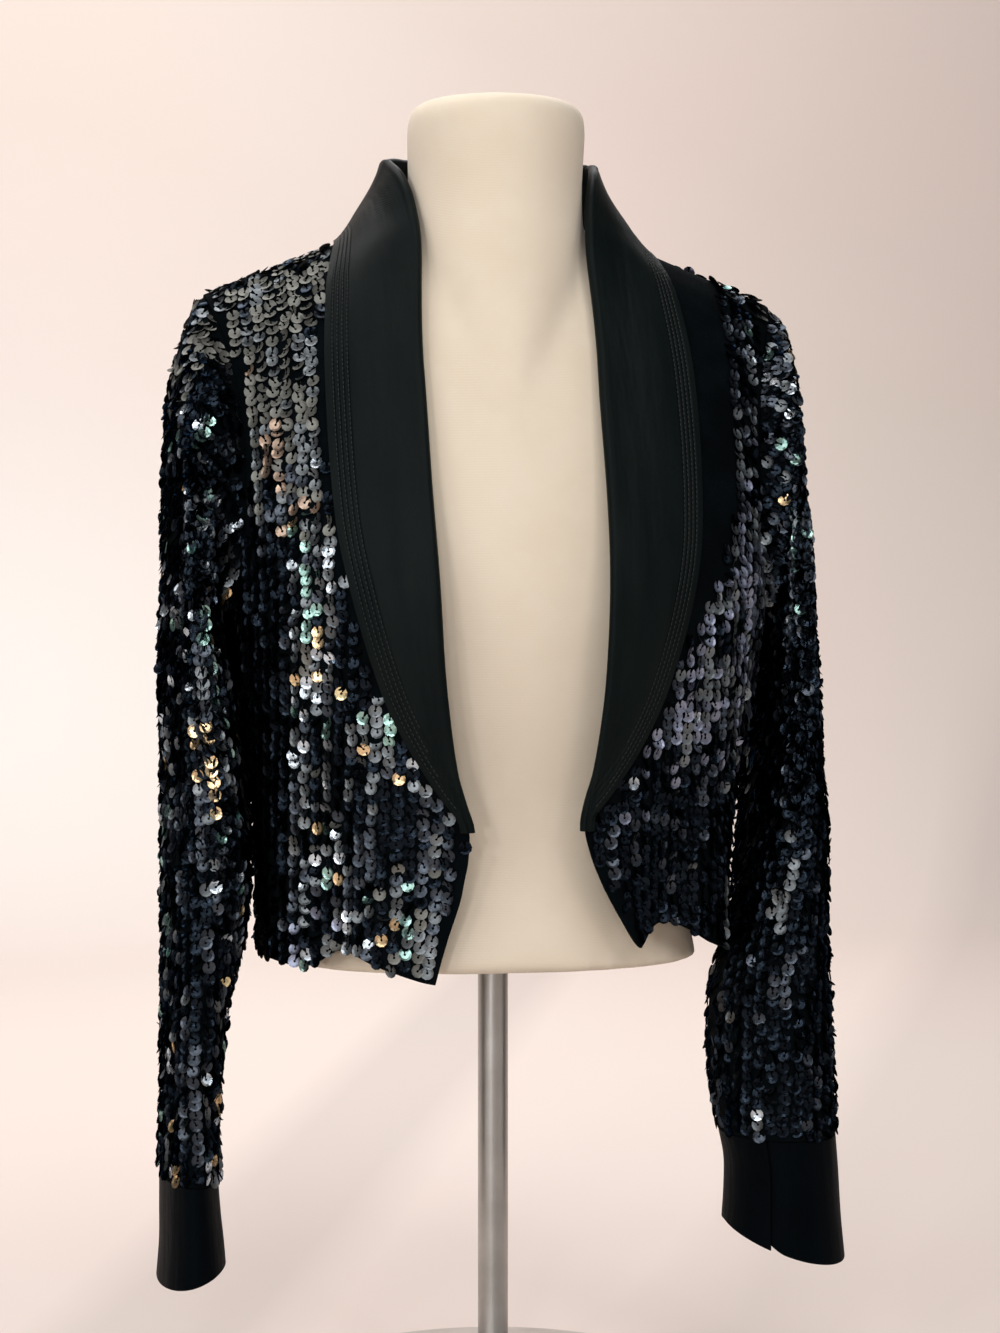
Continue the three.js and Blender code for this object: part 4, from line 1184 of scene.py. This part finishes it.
def make_stitches(name, lines):
    """Stitches along several lines as one mesh."""
    spot, ahead, normal = (np.concatenate(part) for part in zip(*lines))
    shape, sides, caps = bead_profile()
    axes = np.stack([ahead, np.cross(normal, ahead), normal], axis=1)
    return make_piece(name, *copies(shape, spot, axes, sides, caps), sharp=None)


def make_thread():
    material, shader, place = new_material("black_thread")
    colour = mixed(noise(place, 400), (0.004, 0.006, 0.006, 1), (0.012, 0.015, 0.015, 1))
    feed(shader, Base_Color=colour, Roughness=0.6 + 0.2 * noise(place, 900))
    return material


thread = make_thread()
for name in SIDES:
    made = make_stitches(
        f"topstitch_{name}", [stitch_line(*collar_grids[name], inside) for inside in STITCH_ROWS]
    )
    settle(made, thread)
    cloth["sleeve_" + name]
    print("stitches on collar", name, len(made.data.vertices) // 14)

# %% [markdown]
# The dress form is a padded torso with a tall neck under a stretched cream cover. A voxel remesh
# makes the two closed lofts one skin, and smoothing rounds the hollow where the neck rises.
# %% Form surface
NECK = table("height halfWidth front back", [
    [615, 18, -83, 20], [640, 33, -79.5, 30], [660, 43, -75.5, 38], [680, 50, -70.5, 44],
    [700, 54, -66, 48], [720, 56, -62, 49.5], [738, 55.5, -60, 49], [755, 54.6, -61, 47.5],
    [770, 55, -63, 46], [790, 55.8, -66, 44.5], [800, 55, -66.5, 43], [805.5, 51.5, -63.5, 39.5],
    [808.5, 45, -57.5, 33.5], [809.5, 36, -48.5, 24.5],
])
FORM_VOXEL = 4.0 * MM


def torso_loops(rows, around=144):
    """Level loops of the form: x is a power of the cosine, so the corners are well drawn."""
    row = np.linspace(0, len(BUST["row"]) - 1, rows)[:, None]
    angle = circle(around)[None, :]
    power, half = by_row(BUST, row, "squareness", "halfWidth")
    x = half * np.sign(np.cos(angle)) * np.abs(np.cos(angle)) ** (2 / power)
    front, back = (block_point(BUST, way, x, row) for way in (FRONT, BACK))
    return np.where(np.sin(angle)[..., None] < 0, front, back)


def neck_loops(rows, around=144):
    """Level ovals of the neck, from its foot inside the chest to its rounded top."""
    row = np.linspace(len(NECK["row"]) - 1, 0, rows)[:, None]
    angle = circle(around)[None, :]
    height, half, front, back = by_row(NECK, row, "height", "halfWidth", "front", "back")
    y = (front + back) / 2 + (back - front) / 2 * np.sin(angle)
    return points(half * np.cos(angle), y, height)


def closed_loft(loops):
    """Loops as a closed skin: its points, and its bands and two ends as face arrays."""
    number = looped(np.arange(loops[..., 0].size).reshape(loops.shape[:2]))
    return loops.reshape(-1, 3), [quads(number), number[:1, -2::-1], number[-1:, :-1]]


def make_form():
    (place, faces), (neck, more) = closed_loft(torso_loops(140)), closed_loft(neck_loops(90))
    more = [f + len(place) for f in more]
    faces = [faces[0], more[0], *faces[1:], *more[1:]]
    return make_piece("bust_form_cover", np.concatenate([place, neck]), faces, sharp=None)


form = make_form()

# %% Form skin
remesh = form.modifiers.new("skin", "REMESH")
remesh.mode, remesh.voxel_size, remesh.use_smooth_shade = "VOXEL", FORM_VOXEL, True
relax = form.modifiers.new("relax", "SMOOTH")
relax.factor, relax.iterations = 0.5, 14
bpy.context.view_layer.update()
ready = form.evaluated_get(bpy.context.evaluated_depsgraph_get())
skin = bpy.data.meshes.new_from_object(ready)
form.modifiers.clear()
form.data = skin
form.data.materials.clear()
print("form points:", len(form.data.vertices))

# %% [markdown]
# The cover is a fine cream jersey, slightly uneven in colour where it has aged. Its knit is only
# half a millimetre across, so it shows as a soft grain.
# %% Form cover
def make_cover():
    material, shader, place = new_material("form_jersey")
    mottle, spots, grain = noise(place, 9, 3), noise(place, 45, 3), noise(place, 1400, 2)
    threads = place.node(
        "ShaderNodeTexWave", {"bands_direction": "Z"},
        {"Vector": place, "Scale": 320, "Distortion": 1.5, "Detail": 1},
    )
    aged = mixed(contrast(mottle, 0.35, 0.7), (0.80, 0.69, 0.55, 1), (0.75, 0.63, 0.485, 1))
    feed(
        shader, Base_Color=mixed(contrast(spots, 0.5, 0.8) * 0.35, aged, (0.82, 0.73, 0.61, 1)),
        Roughness=0.86 + 0.08 * spots, Normal=bump(grain * 0.7 + threads * 0.3, 0.35, 0.0003),
        Sheen_Weight=0.15, Sheen_Roughness=0.5,
    )
    return material


settle(form, make_cover(), "bust_form")

# %% [markdown]
# The stand is a plain steel tube in a round steel foot. Both are turned shapes: a line of radius
# and height carried round the middle.
# %% Stand
POLE_RADIUS, BASE_RADIUS, BASE_HEIGHT = 9.5, 130, 10
POLE_TOP = BUST_BOTTOM + 14 - SEAM


def turned(name, profile, around=96):
    """A profile of radius and height carried round the z axis, closed at both ends."""
    radius, height = np.array(profile, float).T[..., None]
    angle = circle(around)[None, :]
    loops = points(radius * np.cos(angle), radius * np.sin(angle), height)
    return make_piece(name, *closed_loft(loops), sharp=35)


def make_metal():
    material, shader, place = new_material("brushed_steel")
    brushed = place.node("ShaderNodeMapping", None, {"Vector": place, "Scale": (1, 1, 0.06)})
    lines, wear = noise(brushed, 900, 3), noise(place, 30, 4)
    colour = mixed(contrast(wear, 0.4, 0.75), (0.52, 0.50, 0.475, 1), (0.40, 0.385, 0.36, 1))
    feed(
        shader, Base_Color=colour, Metallic=1.0, Roughness=0.30 + 0.2 * lines,
        Normal=bump(lines, 0.15, 0.0002),
    )
    return material


metal = make_metal()
stand = {
    "pole": turned("pole_tube", [
        (POLE_RADIUS - 0.8, BASE_HEIGHT + SEAM), (POLE_RADIUS, BASE_HEIGHT + SEAM + 0.8),
        (POLE_RADIUS, POLE_TOP - 0.8), (POLE_RADIUS - 0.8, POLE_TOP),
    ]),
    "base": turned("base_foot", [
        (BASE_RADIUS - 1.5, 0), (BASE_RADIUS - 0.4, 0.4), (BASE_RADIUS, 1.5), (BASE_RADIUS, 4.6),
        (BASE_RADIUS - 0.5, 5.9), (BASE_RADIUS - 2, 6.9), (BASE_RADIUS - 5, 7.2),
        (POLE_RADIUS + 16, 9.8), (POLE_RADIUS + 14, BASE_HEIGHT), (2, BASE_HEIGHT),
    ]),
}
for name, made in stand.items():
    settle(made, metal, name)
    print(name, [round(v, 4) for v in made.dimensions])

# %% [markdown]
# The set is a pale floor that sweeps up into a backdrop. Its colour has a painted pool of light at
# the left and two soft painted shadows across the floor. A large soft light stands at the left like
# a window, one hangs in front above, a weak one fills from the right and one stands behind. A few
# small lamps give the sequins bright points to reflect.
# %% Floor and backdrop
BEND_START, BEND_RADIUS = 2300.0, 900.0


def sweep_profile(count=60):
    """Depth and height of the backdrop: flat floor, a quarter circle, then a wall."""
    bend = np.linspace(0, math.pi / 2, count)
    y = np.concatenate([
        [-3200.0], BEND_START + BEND_RADIUS * np.sin(bend), [BEND_START + BEND_RADIUS],
    ])
    z = np.concatenate([[0.0], BEND_RADIUS - BEND_RADIUS * np.cos(bend), [3600.0]])
    return y, z - 0.4


depth, height = sweep_profile()
sweep = points(np.linspace(-3600, 3600, 3)[None, :], depth[:, None], height[:, None])
number = np.arange(sweep[..., 0].size).reshape(sweep.shape[:2])
floor = make_piece("floor", sweep.reshape(-1, 3), [quads(number)], sharp=None)


def band(place, slope, across, half, edge):
    """Painted shadow: 1 on a soft strip of the floor whose middle is x = slope y + across, 0 beside
    it. The strip fades out up the backdrop.
    """
    side = dot(place, (1, -slope, 0)) - across
    height = place.node("ShaderNodeSeparateXYZ", None, {0: place}, out=2)
    on_strip = contrast(side.math("ABSOLUTE", side), half + edge, half)
    return on_strip * contrast(height, 0.45, 0.1)


def make_paper():
    material, shader, place = new_material("backdrop_paper")
    tone = noise(place, 0.9, 2)
    colour = mixed(contrast(tone, 0.3, 0.7), (0.77, 0.655, 0.605, 1), (0.75, 0.675, 0.62, 1))
    # Painted pool of light: the paper turns paler round a point at the left of the backdrop.
    painted_light_spot = {0: place, 1: (-0.35, 3.0, 0.35)}
    away = place.node("ShaderNodeVectorMath", {"operation": "DISTANCE"}, painted_light_spot, out=1)
    colour = mixed(contrast(away, 1.0, 0.15), colour, (0.84, 0.80, 0.76, 1))
    # Painted shadows: two soft darker strips across the floor.
    painted_shadows = band(place, 0.31, -0.25, 0.05, 0.06) + band(place, 0.43, 0.26, 0.12, 0.10)
    colour = mixed(0.3 * painted_shadows, colour, (0.40, 0.36, 0.34, 1))
    feed(shader, Base_Color=colour, Roughness=0.85 + 0.05 * tone)
    return material


floor.data.materials.append(make_paper())

# %% Lights
def add_lamp(name, place, aim, size, power, colour=(1, 1, 1)):
    """A square soft light that faces a point."""
    data = bpy.data.lights.new(name, "AREA")
    data.shape, data.size, data.energy, data.color = "SQUARE", size, power, colour
    add_object(name, data, place, aim)


CHEST = (0, 0, 0.5)
add_lamp("window", (-1.9, -1.5, 1.5), CHEST, 1.6, 20, (1.0, 0.985, 0.965))
add_lamp("room", (0.2, -2.0, 2.7), (0, 0, 0.9), 2.0, 37, (1.0, 0.99, 0.98))
add_lamp("fill", (2.1, -1.2, 1.1), CHEST, 1.2, 4.6, (0.95, 0.97, 1.0))
add_lamp("backdrop_wash", (-0.4, 1.1, 2.5), (0.5, 2.6, -0.2), 2.0, 66, (1.0, 0.965, 0.95))
add_lamp("behind", (0.9, 2.3, 2.4), CHEST, 1.2, 14, (0.95, 0.97, 1.0))
SPARKS = [(-1.1, -1.7, 0.9), (-0.6, -2.0, 1.4), (-0.9, -1.9, 0.3), (0.6, -1.9, 1.2)]
for k, place in enumerate(SPARKS):
    add_lamp(f"spark_{k}", place, CHEST, 0.14, 3.6 if place[0] < 0 else 1.6, (0.94, 0.97, 1.0))

world = bpy.data.worlds.new("studio")
world.use_nodes = True
background = world.node_tree.nodes["Background"].inputs
background["Color"].default_value = (0.90, 0.88, 0.88, 1)
background["Strength"].default_value = 0.08
bpy.context.scene.world = world
bpy.context.scene.view_settings.view_transform = "Standard"
